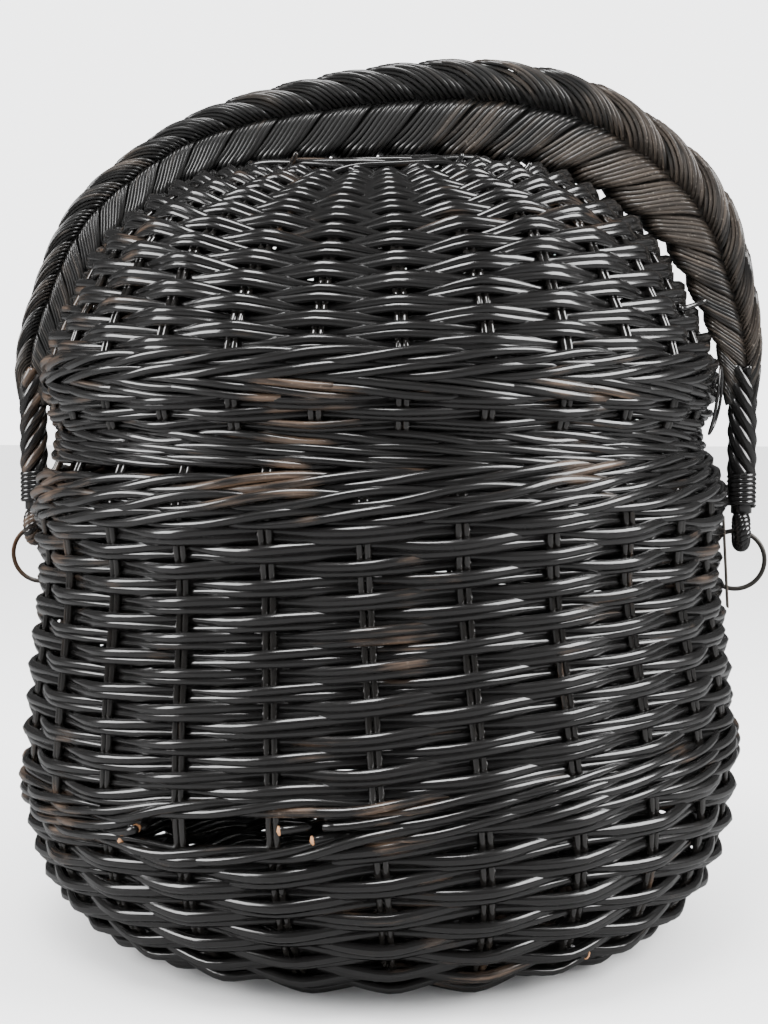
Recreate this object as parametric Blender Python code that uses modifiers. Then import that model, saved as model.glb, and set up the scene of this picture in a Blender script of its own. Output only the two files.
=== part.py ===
"""Round wicker basket with a domed loose lid and a plaited bow handle on two metal rings.

The wall and the lid's crown are shells over cages of crossed stakes, with rows of weave that pass in front
of and behind them. The crown is trimmed to the path of the bow handle, so the handle swings over it. Each
end of the handle is an eye that hangs on a ring, and each ring is threaded through a bent bore in the wall.
Metres, +Z up, the handle along X.
"""

import math

import bmesh
import bpy
import numpy as np
from mathutils import Matrix, Vector

MM = 0.001

# Clearances, and how far a cutter runs past what it cuts
FIT_GAP = 0.3 * MM
CUT_OVERRUN = 3.0 * MM
MERGE_DISTANCE = 0.001 * MM

# Body of the basket
BELLY_RADIUS = 153.5 * MM
WALL_HEIGHT = 194.0 * MM
WALL_THICKNESS = 4.5 * MM
SIDING_BOTTOM = 3.0 * MM
BASE_UNDERSIDE = 4.5 * MM
BASE_THICKNESS = 4.5 * MM
SMALL_STEPS = 28

# Wall outline from the floor up, as shares of WALL_HEIGHT and BELLY_RADIUS
WALL_SHARES = (
    (0.000, 0.680),
    (0.0155, 0.752),
    (0.0515, 0.837),
    (0.118, 0.916),
    (0.216, 0.972),
    (0.356, 1.000),
    (0.515, 0.990),
    (0.800, 0.954),
    (1.000, 0.949),
    (1.0206, 0.930),
    (1.075, 0.911),
)

# Foot, wales and rim of the body
FOOT_WIDTH = 12.0 * MM
FOOT_MARGIN = 0.6 * MM
FOOT_HEIGHT = 4.2 * MM
FOOT_ROWS = 1
MID_WALE_BOTTOM = 69.5 * MM
MID_WALE_HEIGHT = 13.5 * MM
MID_WALE_THICKNESS = 2.4 * MM
MID_WALE_ROWS = 3
TOP_WALE_HEIGHT = 16.7 * MM
TOP_WALE_ROWS = 3
ROW_BULGE = 0.9 * MM
# Where a row swells between its upper and lower groove, as shares of its height and of ROW_BULGE
ROW_SHARES = ((0.5, 1.0),)
NECK_HEIGHT = 5.8 * MM
RIM_WALE_HEIGHT = 7.4 * MM
RIM_ROWS = 1

# Stakes of the body, which cross under the base's binding and rise up the wall
BODY_STAKE_COUNT = 26
STAKE_WIDTH = 6.4 * MM
STAKE_THICKNESS = 3.0 * MM
# Where the first stake stands past the X axis, as a share of the space between two of them
STAKE_OFFSET_SHARE = 0.75
BASE_BINDING_RADIUS = 34.0 * MM
BASE_BINDING_BORE = 24.0 * MM
BASE_BINDING_THICKNESS = 3.0 * MM

# Weave of the wall and the lid: rows that stand proud at every second stake
ROW_PITCH = 6.15 * MM
WEAVE_RELIEF = 2.4 * MM
# Corners round a woven band for each stake
STAKE_STEPS = 2

# Loose lid
# How far the lid's widest row stays inside the top wale
LID_SET_IN = 1.7 * MM
LID_HEIGHT = 119.5 * MM
LID_THICKNESS = 4.2 * MM
LID_BORDER_HEIGHT = 23.4 * MM
LID_BORDER_ROWS = 3
LID_WALE_HEIGHT = 9.7 * MM
LID_WALE_ROWS = 2
LID_STAKE_COUNT = 28
LID_STAKE_WIDTH = 5.8 * MM
LID_BINDING_RADIUS = 47.0 * MM
LID_BINDING_WIDTH = 13.0 * MM
LID_BINDING_THICKNESS = 1.0 * MM
# Where the woven crown ends in a flat at its top
CROWN_FLAT_RADIUS = 9.0 * MM
# How far the crown lies below its outline under the binding
CROWN_TOP_SINK = 0.8 * MM

# Lid outline from its foot up, as shares of LID_HEIGHT and LID_RADIUS
LID_SHARES = (
    (0.000, 0.958),
    (0.062, 0.981),
    (0.195, 1.000),
    (0.2535, 1.000),
    (0.338, 0.983),
    (0.405, 0.962),
    (0.514, 0.915),
    (0.690, 0.834),
    (0.790, 0.752),
    (0.857, 0.673),
    (0.924, 0.584),
    (0.968, 0.486),
    (0.991, 0.347),
    (1.000, 0.000),
)
# Where the dome leaves the lid's outline for a straight line, above which the trim alone shapes the crown
DOME_END_SHARE = 0.690
# Where the trim to the handle's path leaves the lid's outline for a straight line
TRIM_END_SHARE = 0.405
TRIM_STEPS = 32

# Bow handle
# How far the handle's axis lies below the top wale
PIVOT_DROP = 8.3 * MM
# Where the bow's centre lies, as a share of LID_HEIGHT
BOW_CENTRE_SHARE = 0.2535
BOW_CLEARANCE = 3.2 * MM
BRAID_THICKNESS = 36.2 * MM
BRAID_LEAN = 6.5 * MM
BRAID_DEPTH_SHARE = 0.76
BRAID_END_GAP = 0.5 * MM
BRAID_LOBE_COUNT = 18
BRAID_LOBE_STEPS = 3
BRAID_LOBE_DEPTH = 1.3 * MM
# Thickness of the plait from the top of the bow to its ends, as shares of a quarter turn and
# of BRAID_THICKNESS
BRAID_SHARES = (
    (0.0, 1.0),
    (0.17, 0.985),
    (0.33, 0.94),
    (0.5, 0.83),
    (0.67, 0.79),
    (0.83, 0.63),
    (1.0, 0.43),
)
LEG_RADIUS = 6.4 * MM
LEG_TOP_RADIUS = 7.2 * MM
LEG_TURN_COUNT = 3
LEG_TURN_STEPS = 3
LEG_TURN_DEPTH = 0.6 * MM
ROD_STEPS = 8
CORE_RADIUS = 3.0 * MM
CORE_STEPS = 19
OUTLINE_STEPS = 400
EYE_HOLE_RADIUS = 1.6 * MM
EYE_ROPE_RADIUS = 3.8 * MM
EYE_WRAP_HEIGHT = 15.0 * MM
EYE_WRAP_RADIUS = 6.3 * MM

# Rings, their bores in the wall, and the straps beside them
# How far a ring's centre lies inside the eye that hangs on it
RING_SET_IN = 2.4 * MM
RING_RADIUS = 12.4 * MM
RING_WIRE_RADIUS = 1.0 * MM
# Facets round a ring and round its wire, and the same for an eye of the handle
RING_STEPS = (28, 6)
EYE_STEPS = (16, 8)
RING_BORE_MARGIN = 0.8 * MM
STRAP_WIDTH = 5.2 * MM
STRAP_THICKNESS = 0.8 * MM
STRAP_HEIGHT = 39.0 * MM
# How far a strap ends below the top wale
STRAP_DROP = 1.3 * MM
STRAP_OFFSET = 8.0 * MM
STRAP_EDGE_BEVEL = 0.2 * MM

# Places that follow from the sizes above
RIM_BOTTOM = WALL_HEIGHT + NECK_HEIGHT
RIM_HEIGHT = RIM_BOTTOM + RIM_WALE_HEIGHT
TOP_WALE_BOTTOM = WALL_HEIGHT - TOP_WALE_HEIGHT
TOP_WALE_SHARE = dict(WALL_SHARES)[1.0]
WALL_STEPS = STAKE_STEPS * BODY_STAKE_COUNT
LID_STEPS = STAKE_STEPS * LID_STAKE_COUNT
# Turns about Z of the first stake, where the first corner of each band round it stands too
WALL_START = STAKE_OFFSET_SHARE * math.tau / BODY_STAKE_COUNT
LID_START = STAKE_OFFSET_SHARE * math.tau / LID_STAKE_COUNT
STRAP_BOTTOM = TOP_WALE_BOTTOM - STRAP_DROP - STRAP_HEIGHT
LID_BINDING_BORE = LID_BINDING_RADIUS - LID_BINDING_WIDTH
LID_RADIUS = TOP_WALE_SHARE * BELLY_RADIUS - LID_SET_IN
LID_FOOT = RIM_HEIGHT + FIT_GAP
LID_TOP = LID_FOOT + LID_HEIGHT
LID_WALE_BOTTOM = LID_FOOT + LID_BORDER_HEIGHT + FIT_GAP
LID_WEAVE_BOTTOM = LID_WALE_BOTTOM + LID_WALE_HEIGHT + FIT_GAP
PIVOT_HEIGHT = TOP_WALE_BOTTOM - PIVOT_DROP
BOW_CENTRE_HEIGHT = LID_FOOT + BOW_CENTRE_SHARE * LID_HEIGHT
RING_CENTRE_HEIGHT = PIVOT_HEIGHT - RING_RADIUS
LEG_REACH = LID_RADIUS + BOW_CLEARANCE + BRAID_THICKNESS * BRAID_SHARES[-1][1] / 2
RING_REACH = LEG_REACH - RING_SET_IN
STAKE_INSET = WALL_THICKNESS + FIT_GAP
LID_STAKE_INSET = LID_THICKNESS + FIT_GAP
EYE_RADIUS = EYE_HOLE_RADIUS + EYE_ROPE_RADIUS
EYE_OUTER_RADIUS = EYE_HOLE_RADIUS + 2 * EYE_ROPE_RADIUS
EYE_WRAP_BOTTOM = PIVOT_HEIGHT + EYE_OUTER_RADIUS + FIT_GAP
LEG_BOTTOM = EYE_WRAP_BOTTOM + EYE_WRAP_HEIGHT + FIT_GAP

# Finishes: colour, roughness, metallic
FINISHES = {
    "black_willow": ((0.016, 0.015, 0.014), 0.34, 0.0),
    "worn_willow": ((0.050, 0.042, 0.034), 0.50, 0.0),
    "black_stake": ((0.020, 0.018, 0.016), 0.40, 0.0),
    "plaited_rush": ((0.060, 0.056, 0.047), 0.55, 0.0),
    "dark_iron": ((0.050, 0.047, 0.043), 0.45, 0.9),
    "brown_strap": ((0.090, 0.075, 0.060), 0.50, 0.3),
}


def clear_scene():
    """Take away what the startup scene holds."""
    for obj in list(bpy.data.objects):
        bpy.data.objects.remove(obj, do_unlink=True)


def add_collection(name):
    """A new collection in the scene."""
    collection = bpy.data.collections.new(name)
    bpy.context.scene.collection.children.link(collection)
    return collection


def mesh_object(name, mesh, collection):
    """An object that shows a mesh, in a collection."""
    obj = bpy.data.objects.new(name, mesh)
    collection.objects.link(obj)
    return obj


def make_cutter(obj):
    """Hide a helper from renders and draw it as wire."""
    obj.hide_render = True
    obj.display_type = "WIRE"
    return obj


def give_finish(obj, finish):
    """Give a piece its own material, in the colour of its finish."""
    colour, roughness, metallic = FINISHES[finish]
    material = bpy.data.materials.new(f"{obj.name}_{finish}")
    material.use_nodes = True
    shader = material.node_tree.nodes["Principled BSDF"]
    shader.inputs["Base Color"].default_value = (*colour, 1.0)
    shader.inputs["Roughness"].default_value = roughness
    shader.inputs["Metallic"].default_value = metallic
    obj.data.materials.clear()
    obj.data.materials.append(material)


def boolean(obj, other, operation):
    """Cut, join or keep the common part with another solid."""
    modifier = obj.modifiers.new(f"{operation.lower()}_{other.name}", "BOOLEAN")
    modifier.operation = operation
    modifier.solver = "EXACT"
    modifier.object = other


def turned(name, points, steps, collection, start=0.0):
    """A solid turned about Z from a closed outline, or from one that starts and ends on the axis.

    The points are (radius, height) and run down the outer side from top to bottom. The first corner
    stands at the starting turn about Z.
    """
    mesh = bpy.data.meshes.new(name)
    ahead, aside = math.cos(start), math.sin(start)
    closed_outline = points[0][0] > 0
    count = len(points)
    edges = [(i, i + 1) for i in range(count - 1)]
    if closed_outline:
        edges.append((count - 1, 0))
    mesh.from_pydata([(radius * ahead, radius * aside, height) for radius, height in points], edges, [])
    obj = mesh_object(name, mesh, collection)
    screw = obj.modifiers.new("turn", "SCREW")
    screw.axis = "Z"
    screw.angle = math.tau
    screw.steps = steps
    screw.render_steps = steps
    screw.use_merge_vertices = True
    screw.merge_threshold = MERGE_DISTANCE
    return obj


def box(name, low, high, collection):
    """A box from its lowest to its highest corner."""
    mesh = bpy.data.meshes.new(name)
    shape = bmesh.new()
    bmesh.ops.create_cube(shape, size=1.0)
    low, high = Vector(low), Vector(high)
    size = high - low
    bmesh.ops.scale(shape, vec=size, verts=shape.verts)
    bmesh.ops.translate(shape, vec=(low + high) / 2, verts=shape.verts)
    shape.to_mesh(mesh)
    shape.free()
    return mesh_object(name, mesh, collection)


def torus(name, radius, wire_radius, centre, axis, collection, steps):
    """A round wire ring about an axis through its centre."""
    around, across = steps
    points = []
    for k in range(across):
        turn = -math.tau * k / across
        points.append((radius + wire_radius * math.cos(turn), wire_radius * math.sin(turn)))
    obj = turned(name, points, around, collection)
    obj.rotation_euler = Vector((0.0, 0.0, 1.0)).rotation_difference(Vector(axis)).to_euler()
    obj.location = centre
    return obj


def lofted(name, rings, collection, closed=False):
    """A solid through rings of points, with a flat cap on the first and the last, or with those two joined."""
    mesh = bpy.data.meshes.new(name)
    shape = bmesh.new()
    rows = [[shape.verts.new(place) for place in ring] for ring in rings]
    sides = len(rows[0])
    for upper, lower in zip(rows, rows[1:] + rows[:1] if closed else rows[1:]):
        for k in range(sides):
            after = (k + 1) % sides
            shape.faces.new((upper[k], upper[after], lower[after], lower[k]))
    if not closed:
        shape.faces.new(rows[0])
        shape.faces.new(rows[-1])
    bmesh.ops.recalc_face_normals(shape, faces=shape.faces)
    shape.to_mesh(mesh)
    shape.free()
    return mesh_object(name, mesh, collection)


def rod(name, places, radii, collection, depth_share=1.0):
    """A round or oval rod of the handle through places (x, z, turn), each ring square to the bow there."""
    rings = []
    for (x, z, turn), radius in zip(places, radii):
        ring = []
        for k in range(ROD_STEPS):
            way = math.tau * k / ROD_STEPS
            out = radius * math.cos(way)
            aside = depth_share * radius * math.sin(way)
            ring.append((x + out * math.sin(turn), aside, z + out * math.cos(turn)))
        rings.append(ring)
    return lofted(name, rings, collection)


def wall_outline():
    """The body's outline from the floor to its rim, as (radius, height)."""
    return [(share * BELLY_RADIUS, level * WALL_HEIGHT) for level, share in WALL_SHARES]


def wall_radius(height):
    """Outer radius of the body's wall at a height."""
    radii, heights = zip(*wall_outline())
    return float(np.interp(height, heights, radii))


def lid_outline():
    """The untrimmed lid's outline from its foot to its top, as (radius, height)."""
    return [(share * LID_RADIUS, LID_FOOT + level * LID_HEIGHT) for level, share in LID_SHARES]


def inset_outline(points, inset):
    """Move an outline of (radius, height) points inward by a distance, square to its slope."""
    path = np.array(points)
    slope = np.gradient(path, axis=0)
    slope /= np.linalg.norm(slope, axis=1)[:, None]
    normal = np.stack([slope[:, 1], -slope[:, 0]], axis=1)
    moved = path - normal * inset
    return [(max(radius, 0.0), height) for radius, height in moved.tolist()]


def clipped(outline, bottom, top):
    """The part of a rising outline of (radius, height) between two heights, listed from the top down."""
    radii, heights = zip(*outline)
    between = [(r, z) for r, z in outline if bottom < z < top]
    ends = [(float(np.interp(z, heights, radii)), z) for z in (bottom, top)]
    return [ends[1]] + between[::-1] + [ends[0]]


def bowl_solid(name, inset, bottom, top, collection):
    """The solid inside the body's wall at an inset from its outer face, between two heights."""
    edge = clipped(inset_outline(wall_outline(), inset), bottom, top)
    return turned(name, [(0.0, top)] + edge + [(0.0, bottom)], WALL_STEPS, collection)


def weave_share(step, row):
    """How far a row has sunk in at a corner: 0 in front of a stake and 1 behind the next one."""
    return (1 - math.cos(math.pi * (step / STAKE_STEPS + row))) / 2


def woven_band(name, bottom, top, collection):
    """A band of the body's wall between two heights, whose rows pass in front of and behind the stakes."""
    radii, heights = zip(*wall_outline())
    rows = round((top - bottom) / ROW_PITCH)
    levels = [bottom] + [bottom + (row + 0.5) * (top - bottom) / rows for row in range(rows)] + [top]
    proud = [(float(np.interp(z, heights, radii)), z) for z in levels]
    sunk = inset_outline(proud, WEAVE_RELIEF)
    rings = []
    for row, ((radius, z), (sunk_radius, sunk_z)) in enumerate(zip(proud, sunk)):
        if row in (0, rows + 1):
            middle = (radius + sunk_radius) / 2
            rings.append(ring_round([middle] * WALL_STEPS, [z] * WALL_STEPS, WALL_START))
            continue
        shares = [weave_share(step, row) for step in range(WALL_STEPS)]
        around = [radius + share * (sunk_radius - radius) for share in shares]
        rings.append(ring_round(around, [z + share * (sunk_z - z) for share in shares], WALL_START))
    inner_start = WALL_START - math.pi / WALL_STEPS
    for radius, z in clipped(inset_outline(wall_outline(), WALL_THICKNESS), bottom, top):
        rings.append(ring_round([radius] * WALL_STEPS, [z] * WALL_STEPS, inner_start))
    return lofted(name, rings, collection, closed=True)


def proud_share(turn):
    """How far in the proudest rows of the wall lie at a turn about Z, as a share of the weave's relief."""
    step, past = divmod((turn - WALL_START) * WALL_STEPS / math.tau, 1.0)
    return min((1 - past) * weave_share(step, row) + past * weave_share(step + 1, row) for row in (0, 1))


def ring_round(radii, heights, start):
    """Points round Z at even turns from a starting turn, with a radius and a height for each."""
    turns = [start + math.tau * step / len(radii) for step in range(len(radii))]
    return [(r * math.cos(turn), r * math.sin(turn), z) for r, z, turn in zip(radii, heights, turns)]


def crown_line(turn):
    """The crown's outline in the upright half plane at a turn about Z, from its foot to its apex.

    On each ray from the middle of the lid's foot the outline is where the ray first leaves the dome or
    the space that the handle's path leaves free.
    """
    outline = np.array(dome_outline())
    rises = np.linspace(0.0, math.pi / 2, OUTLINE_STEPS)[:, None]
    dome_rises = np.arctan2(outline[:, 1] - LID_FOOT, outline[:, 0])
    dome = np.interp(rises[:, 0], dome_rises, np.hypot(outline[:, 0], outline[:, 1] - LID_FOOT))
    trim = np.array(trim_outline())
    reaches = np.linspace(0.0, 2 * LID_HEIGHT, OUTLINE_STEPS)[None, :]
    across, z = reaches * np.cos(rises), LID_FOOT + reaches * np.sin(rises)
    limit = np.interp(across * abs(math.cos(turn)), trim[::-1, 0], trim[::-1, 1]) - PIVOT_HEIGHT
    past = np.hypot(across * math.sin(turn), z - PIVOT_HEIGHT) - limit
    first = np.argmax(past > 0, axis=1)
    rows = np.arange(OUTLINE_STEPS)
    step = reaches[0, 1]
    trimmed = reaches[0, first] - step * past[rows, first] / (past[rows, first] - past[rows, first - 1])
    reach = np.where(past[rows, first] > 0, np.minimum(dome, trimmed), dome)
    return np.stack([reach * np.cos(rises[:, 0]), LID_FOOT + reach * np.sin(rises[:, 0])], axis=1)


def dome_outline():
    """The lid's outline up to where it leaves for a straight line, and the end of that line above the lid."""
    outline = lid_outline()
    leaving = next(k for k, (level, _) in enumerate(LID_SHARES) if level >= DOME_END_SHARE)
    (low_r, low_z), (high_r, high_z) = outline[leaving - 1], outline[leaving]
    above = LID_TOP + CUT_OVERRUN
    reach = high_r + (high_r - low_r) * (above - high_z) / (high_z - low_z)
    return outline[: leaving + 1] + [(reach, above)]


def trim_outline():
    """The part of the lid's outline that the trim to the handle's path follows, as (radius, height)."""
    return [place for place, (level, _) in zip(lid_outline(), LID_SHARES) if level >= TRIM_END_SHARE]


def woven_crown(name, collection):
    """The solid inside the crown, whose rows pass in front of and behind the stakes of the lid."""
    rows = 0
    lines = []
    for step in range(LID_STEPS):
        line = crown_line(LID_START + math.tau * step / LID_STEPS)
        line = line[np.argmax(line[:, 1] > LID_WEAVE_BOTTOM) - 1 :]
        run = np.concatenate([[0.0], np.cumsum(np.linalg.norm(np.diff(line, axis=0), axis=1))])
        low = float(np.interp(LID_WEAVE_BOTTOM, line[:, 1], run))
        high = float(np.interp(-CROWN_FLAT_RADIUS, -line[:, 0], run))
        woven = float(np.interp(-LID_BINDING_RADIUS, -line[:, 0], run)) - low
        rows = rows or round(woven / ROW_PITCH)
        levels = [low] + [low + (row + 0.5) * woven / rows for row in range(rows)] + [low + woven, high]
        radii, heights = (np.interp(levels, run, line[:, axis]).tolist() for axis in (0, 1))
        lines.append(list(zip(radii, heights)))
    rings = []
    for row in range(rows + 3):
        radii, heights = [], []
        for step in range(LID_STEPS):
            radius, z = lines[step][row]
            sunk = WEAVE_RELIEF * weave_share(step, row) if 0 < row <= rows else 0.0
            sunk = CROWN_TOP_SINK if row > rows else sunk
            reach = math.hypot(radius, z - LID_FOOT)
            radii.append(radius * (1 - sunk / reach))
            heights.append(LID_FOOT + (z - LID_FOOT) * (1 - sunk / reach))
        level = heights[0] if row in (0, rows + 2) else None
        rings.append(ring_round(radii, heights if level is None else [level] * LID_STEPS, LID_START))
    return lofted(name, rings, collection)


def crown_solid(name, inset, bottom, collection):
    """The solid inside the lid at an inset from its outer face, trimmed to the handle's path."""
    moved = inset_outline(dome_outline(), inset)
    top = moved[-1][1]
    line = [(0.0, top)] + clipped(moved, bottom, top) + [(0.0, bottom)]
    dome = turned(name, line, LID_STEPS, collection)
    boolean(dome, trim_solid(f"{name}_trim", inset), "INTERSECT")
    return dome


def trim_solid(name, inset):
    """What the bow leaves free as it swings about its pivots, less an inset: a solid turned about X."""
    moved = inset_outline(trim_outline(), inset)
    moved[-1] = (0.0, LID_TOP - inset)
    half = [(z - PIVOT_HEIGHT, r) for r, z in reversed(moved)]
    end = LID_RADIUS + CUT_OVERRUN
    half.append((half[-1][0], end))
    points = [(0.0, end)] + list(reversed(half))
    points += [(reach, -along) for reach, along in half[1:]] + [(0.0, -end)]
    solid = turned(name, points, TRIM_STEPS, cutters)
    solid.rotation_euler = (0.0, math.pi / 2, 0.0)
    solid.location = (0.0, 0.0, PIVOT_HEIGHT)
    return make_cutter(solid)


def star_prism(name, arms, width, radius, bottom, top, collection):
    """Crossed bars in the shape of a star, one arm for each stake, with no arm on the X axis."""
    mesh = bpy.data.meshes.new(name)
    shape = bmesh.new()
    half = width / 2
    notch = half / math.sin(math.pi / arms)
    corners = []
    for k in range(arms):
        turn = math.tau * (k + STAKE_OFFSET_SHARE) / arms
        out = Vector((math.cos(turn), math.sin(turn)))
        side = Vector((-out.y, out.x))
        corners.append(out * radius - side * half)
        corners.append(out * radius + side * half)
        middle = turn + math.pi / arms
        corners.append(Vector((math.cos(middle), math.sin(middle))) * notch)
    face = shape.faces.new([shape.verts.new((x, y, bottom)) for x, y in corners])
    raised = bmesh.ops.extrude_face_region(shape, geom=[face])
    lifted = [part for part in raised["geom"] if isinstance(part, bmesh.types.BMVert)]
    bmesh.ops.translate(shape, vec=(0.0, 0.0, top - bottom), verts=lifted)
    bmesh.ops.recalc_face_normals(shape, faces=shape.faces)
    shape.to_mesh(mesh)
    shape.free()
    return mesh_object(name, mesh, collection)


def ridged_band(name, outline, bottom, height, rows, thickness, steps=WALL_STEPS, start=WALL_START):
    """A band of round rows of rods along an outline of (radius, height), with a plain inner side."""
    radii, heights = zip(*outline)
    top = bottom + height
    pitch = height / rows
    outer = []
    for row in range(rows):
        for level, swell in ((0.0, 0.0), *ROW_SHARES):
            z = top - (row + level) * pitch
            outer.append((float(np.interp(z, heights, radii)) - ROW_BULGE * (1 - swell), z))
    outer.append((float(np.interp(bottom, heights, radii)) - ROW_BULGE, bottom))
    inner = clipped(inset_outline(outline, thickness), bottom, top)
    return turned(name, outer + inner[::-1], steps, pieces, start)


def straight_outline(radius, bottom, top):
    """An upright outline, for a band that follows no other."""
    return [(radius, bottom), (radius, top)]


def build_base():
    """Woven base, its foot, the crossed stakes with the binding over them."""
    floor = BASE_UNDERSIDE + BASE_THICKNESS
    base = bowl_solid("base_weave", STAKE_INSET, BASE_UNDERSIDE, floor, pieces)
    give_finish(base, "worn_willow")
    inner_wall = clipped(inset_outline(wall_outline(), WALL_THICKNESS), SIDING_BOTTOM, floor)
    foot_outline = straight_outline(inner_wall[-1][0] - FOOT_MARGIN, 0.0, FOOT_HEIGHT)
    foot = ridged_band("foot_wale", foot_outline, 0.0, FOOT_HEIGHT, FOOT_ROWS, FOOT_WIDTH, SMALL_STEPS)
    give_finish(foot, "worn_willow")
    bottom = floor + FIT_GAP
    stakes = bowl_solid("body_stakes", STAKE_INSET, bottom, RIM_HEIGHT - FIT_GAP, pieces)
    above = RIM_HEIGHT + CUT_OVERRUN
    hollow = bowl_solid("body_stakes_hollow", STAKE_INSET + STAKE_THICKNESS, bottom + STAKE_THICKNESS, above,
                        cutters)
    boolean(stakes, make_cutter(hollow), "DIFFERENCE")
    star = star_prism("body_stakes_star", BODY_STAKE_COUNT, STAKE_WIDTH, BELLY_RADIUS, 0.0, above, cutters)
    boolean(stakes, make_cutter(star), "INTERSECT")
    give_finish(stakes, "black_stake")
    seat = bottom + STAKE_THICKNESS + FIT_GAP
    binding_outline = straight_outline(BASE_BINDING_RADIUS, seat, seat + BASE_BINDING_THICKNESS)
    binding = ridged_band("base_binding", binding_outline, seat, BASE_BINDING_THICKNESS, 1,
                          BASE_BINDING_RADIUS - BASE_BINDING_BORE, SMALL_STEPS)
    give_finish(binding, "black_willow")


def build_wall():
    """Siding below and above the middle wale, the wales, and the rim that the lid sits on."""
    joint = MID_WALE_BOTTOM + MID_WALE_HEIGHT / 2
    lower = woven_band("lower_siding", SIDING_BOTTOM, joint, pieces)
    give_finish(lower, "black_willow")
    upper = woven_band("upper_siding", joint + FIT_GAP, TOP_WALE_BOTTOM - FIT_GAP, pieces)
    cut_ring_bores(upper)
    give_finish(upper, "black_willow")
    proud = inset_outline(wall_outline(), -FIT_GAP - MID_WALE_THICKNESS)
    middle = ridged_band("mid_wale", proud, MID_WALE_BOTTOM, MID_WALE_HEIGHT, MID_WALE_ROWS, MID_WALE_THICKNESS)
    give_finish(middle, "black_willow")
    swollen = inset_outline(wall_outline(), -ROW_BULGE)
    top = ridged_band("top_wale", swollen, TOP_WALE_BOTTOM, TOP_WALE_HEIGHT, TOP_WALE_ROWS,
                      WALL_THICKNESS + ROW_BULGE)
    give_finish(top, "black_willow")
    rim = ridged_band("rim_wale", wall_outline(), RIM_BOTTOM, RIM_WALE_HEIGHT, RIM_ROWS, WALL_THICKNESS)
    give_finish(rim, "black_willow")


def cut_ring_bores(wall):
    """Cut the bent bores that the rings pass through, as rings with a thicker wire."""
    bore_radius = RING_WIRE_RADIUS + RING_BORE_MARGIN
    for side, name in ((-1, "ring_bore_left"), (1, "ring_bore_right")):
        bore = torus(name, RING_RADIUS, bore_radius, ring_centre(side), (0.0, 1.0, 0.0), cutters, RING_STEPS)
        boolean(wall, make_cutter(bore), "DIFFERENCE")


def build_straps():
    """Flat straps that lie on the wall in front of the rings."""
    top = STRAP_BOTTOM + STRAP_HEIGHT
    low_radius, high_radius = wall_radius(STRAP_BOTTOM), wall_radius(top)
    lean = math.atan2(high_radius - low_radius, STRAP_HEIGHT)
    seat = (low_radius + high_radius) / 2 + FIT_GAP
    half = (STRAP_THICKNESS / 2, STRAP_WIDTH / 2, STRAP_HEIGHT / 2)
    for side, name in ((-1, "strap_left"), (1, "strap_right")):
        turns = [math.atan2(edge * STRAP_WIDTH / 2 - STRAP_OFFSET, side * seat) for edge in (-1, 0, 1)]
        sunk = WEAVE_RELIEF * min(proud_share(turn) for turn in turns)
        strap = box(name, [-size for size in half], half, pieces)
        strap.location = (side * (seat - sunk + STRAP_THICKNESS / 2), -STRAP_OFFSET, (STRAP_BOTTOM + top) / 2)
        strap.rotation_euler = (0.0, side * lean, 0.0)
        bevel = strap.modifiers.new("edges", "BEVEL")
        bevel.width = STRAP_EDGE_BEVEL
        bevel.segments = 1
        give_finish(strap, "brown_strap")


def build_lid():
    """Domed weave over crossed stakes, the binding round their crossing, the wale and the border."""
    weave = woven_crown("lid_weave", pieces)
    hollow = crown_solid("lid_weave_hollow", LID_THICKNESS, LID_WEAVE_BOTTOM - CUT_OVERRUN, cutters)
    boolean(weave, make_cutter(hollow), "DIFFERENCE")
    give_finish(weave, "black_willow")
    stakes = crown_solid("lid_stakes", LID_STAKE_INSET, LID_FOOT + FIT_GAP, pieces)
    inside = crown_solid("lid_stakes_hollow", LID_STAKE_INSET + STAKE_THICKNESS, LID_FOOT - CUT_OVERRUN, cutters)
    boolean(stakes, make_cutter(inside), "DIFFERENCE")
    star = star_prism("lid_stakes_star", LID_STAKE_COUNT, LID_STAKE_WIDTH, LID_RADIUS, LID_FOOT - CUT_OVERRUN,
                      LID_TOP + CUT_OVERRUN, cutters)
    boolean(stakes, make_cutter(star), "INTERSECT")
    give_finish(stakes, "black_stake")
    binding = crown_solid("lid_binding", -FIT_GAP - LID_BINDING_THICKNESS, LID_WEAVE_BOTTOM, pieces)
    under = crown_solid("lid_binding_under", -FIT_GAP, LID_WEAVE_BOTTOM - CUT_OVERRUN, cutters)
    boolean(binding, make_cutter(under), "DIFFERENCE")
    above = LID_TOP + CUT_OVERRUN
    outer = [(LID_BINDING_RADIUS, above), (LID_BINDING_RADIUS, LID_WEAVE_BOTTOM)]
    inner = [(LID_BINDING_BORE, LID_WEAVE_BOTTOM), (LID_BINDING_BORE, above)]
    around = turned("lid_binding_around", outer + inner, SMALL_STEPS, cutters)
    boolean(binding, make_cutter(around), "INTERSECT")
    give_finish(binding, "worn_willow")
    wale = ridged_band("lid_wale", lid_outline(), LID_WALE_BOTTOM, LID_WALE_HEIGHT, LID_WALE_ROWS,
                       LID_THICKNESS, LID_STEPS, LID_START)
    give_finish(wale, "black_willow")
    border = ridged_band("lid_border", lid_outline(), LID_FOOT, LID_BORDER_HEIGHT, LID_BORDER_ROWS,
                         LID_THICKNESS, LID_STEPS, LID_START)
    give_finish(border, "worn_willow")
    hang([weave, stakes, binding, wale, border], "lid_seat", (0.0, 0.0, LID_FOOT))


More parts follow.
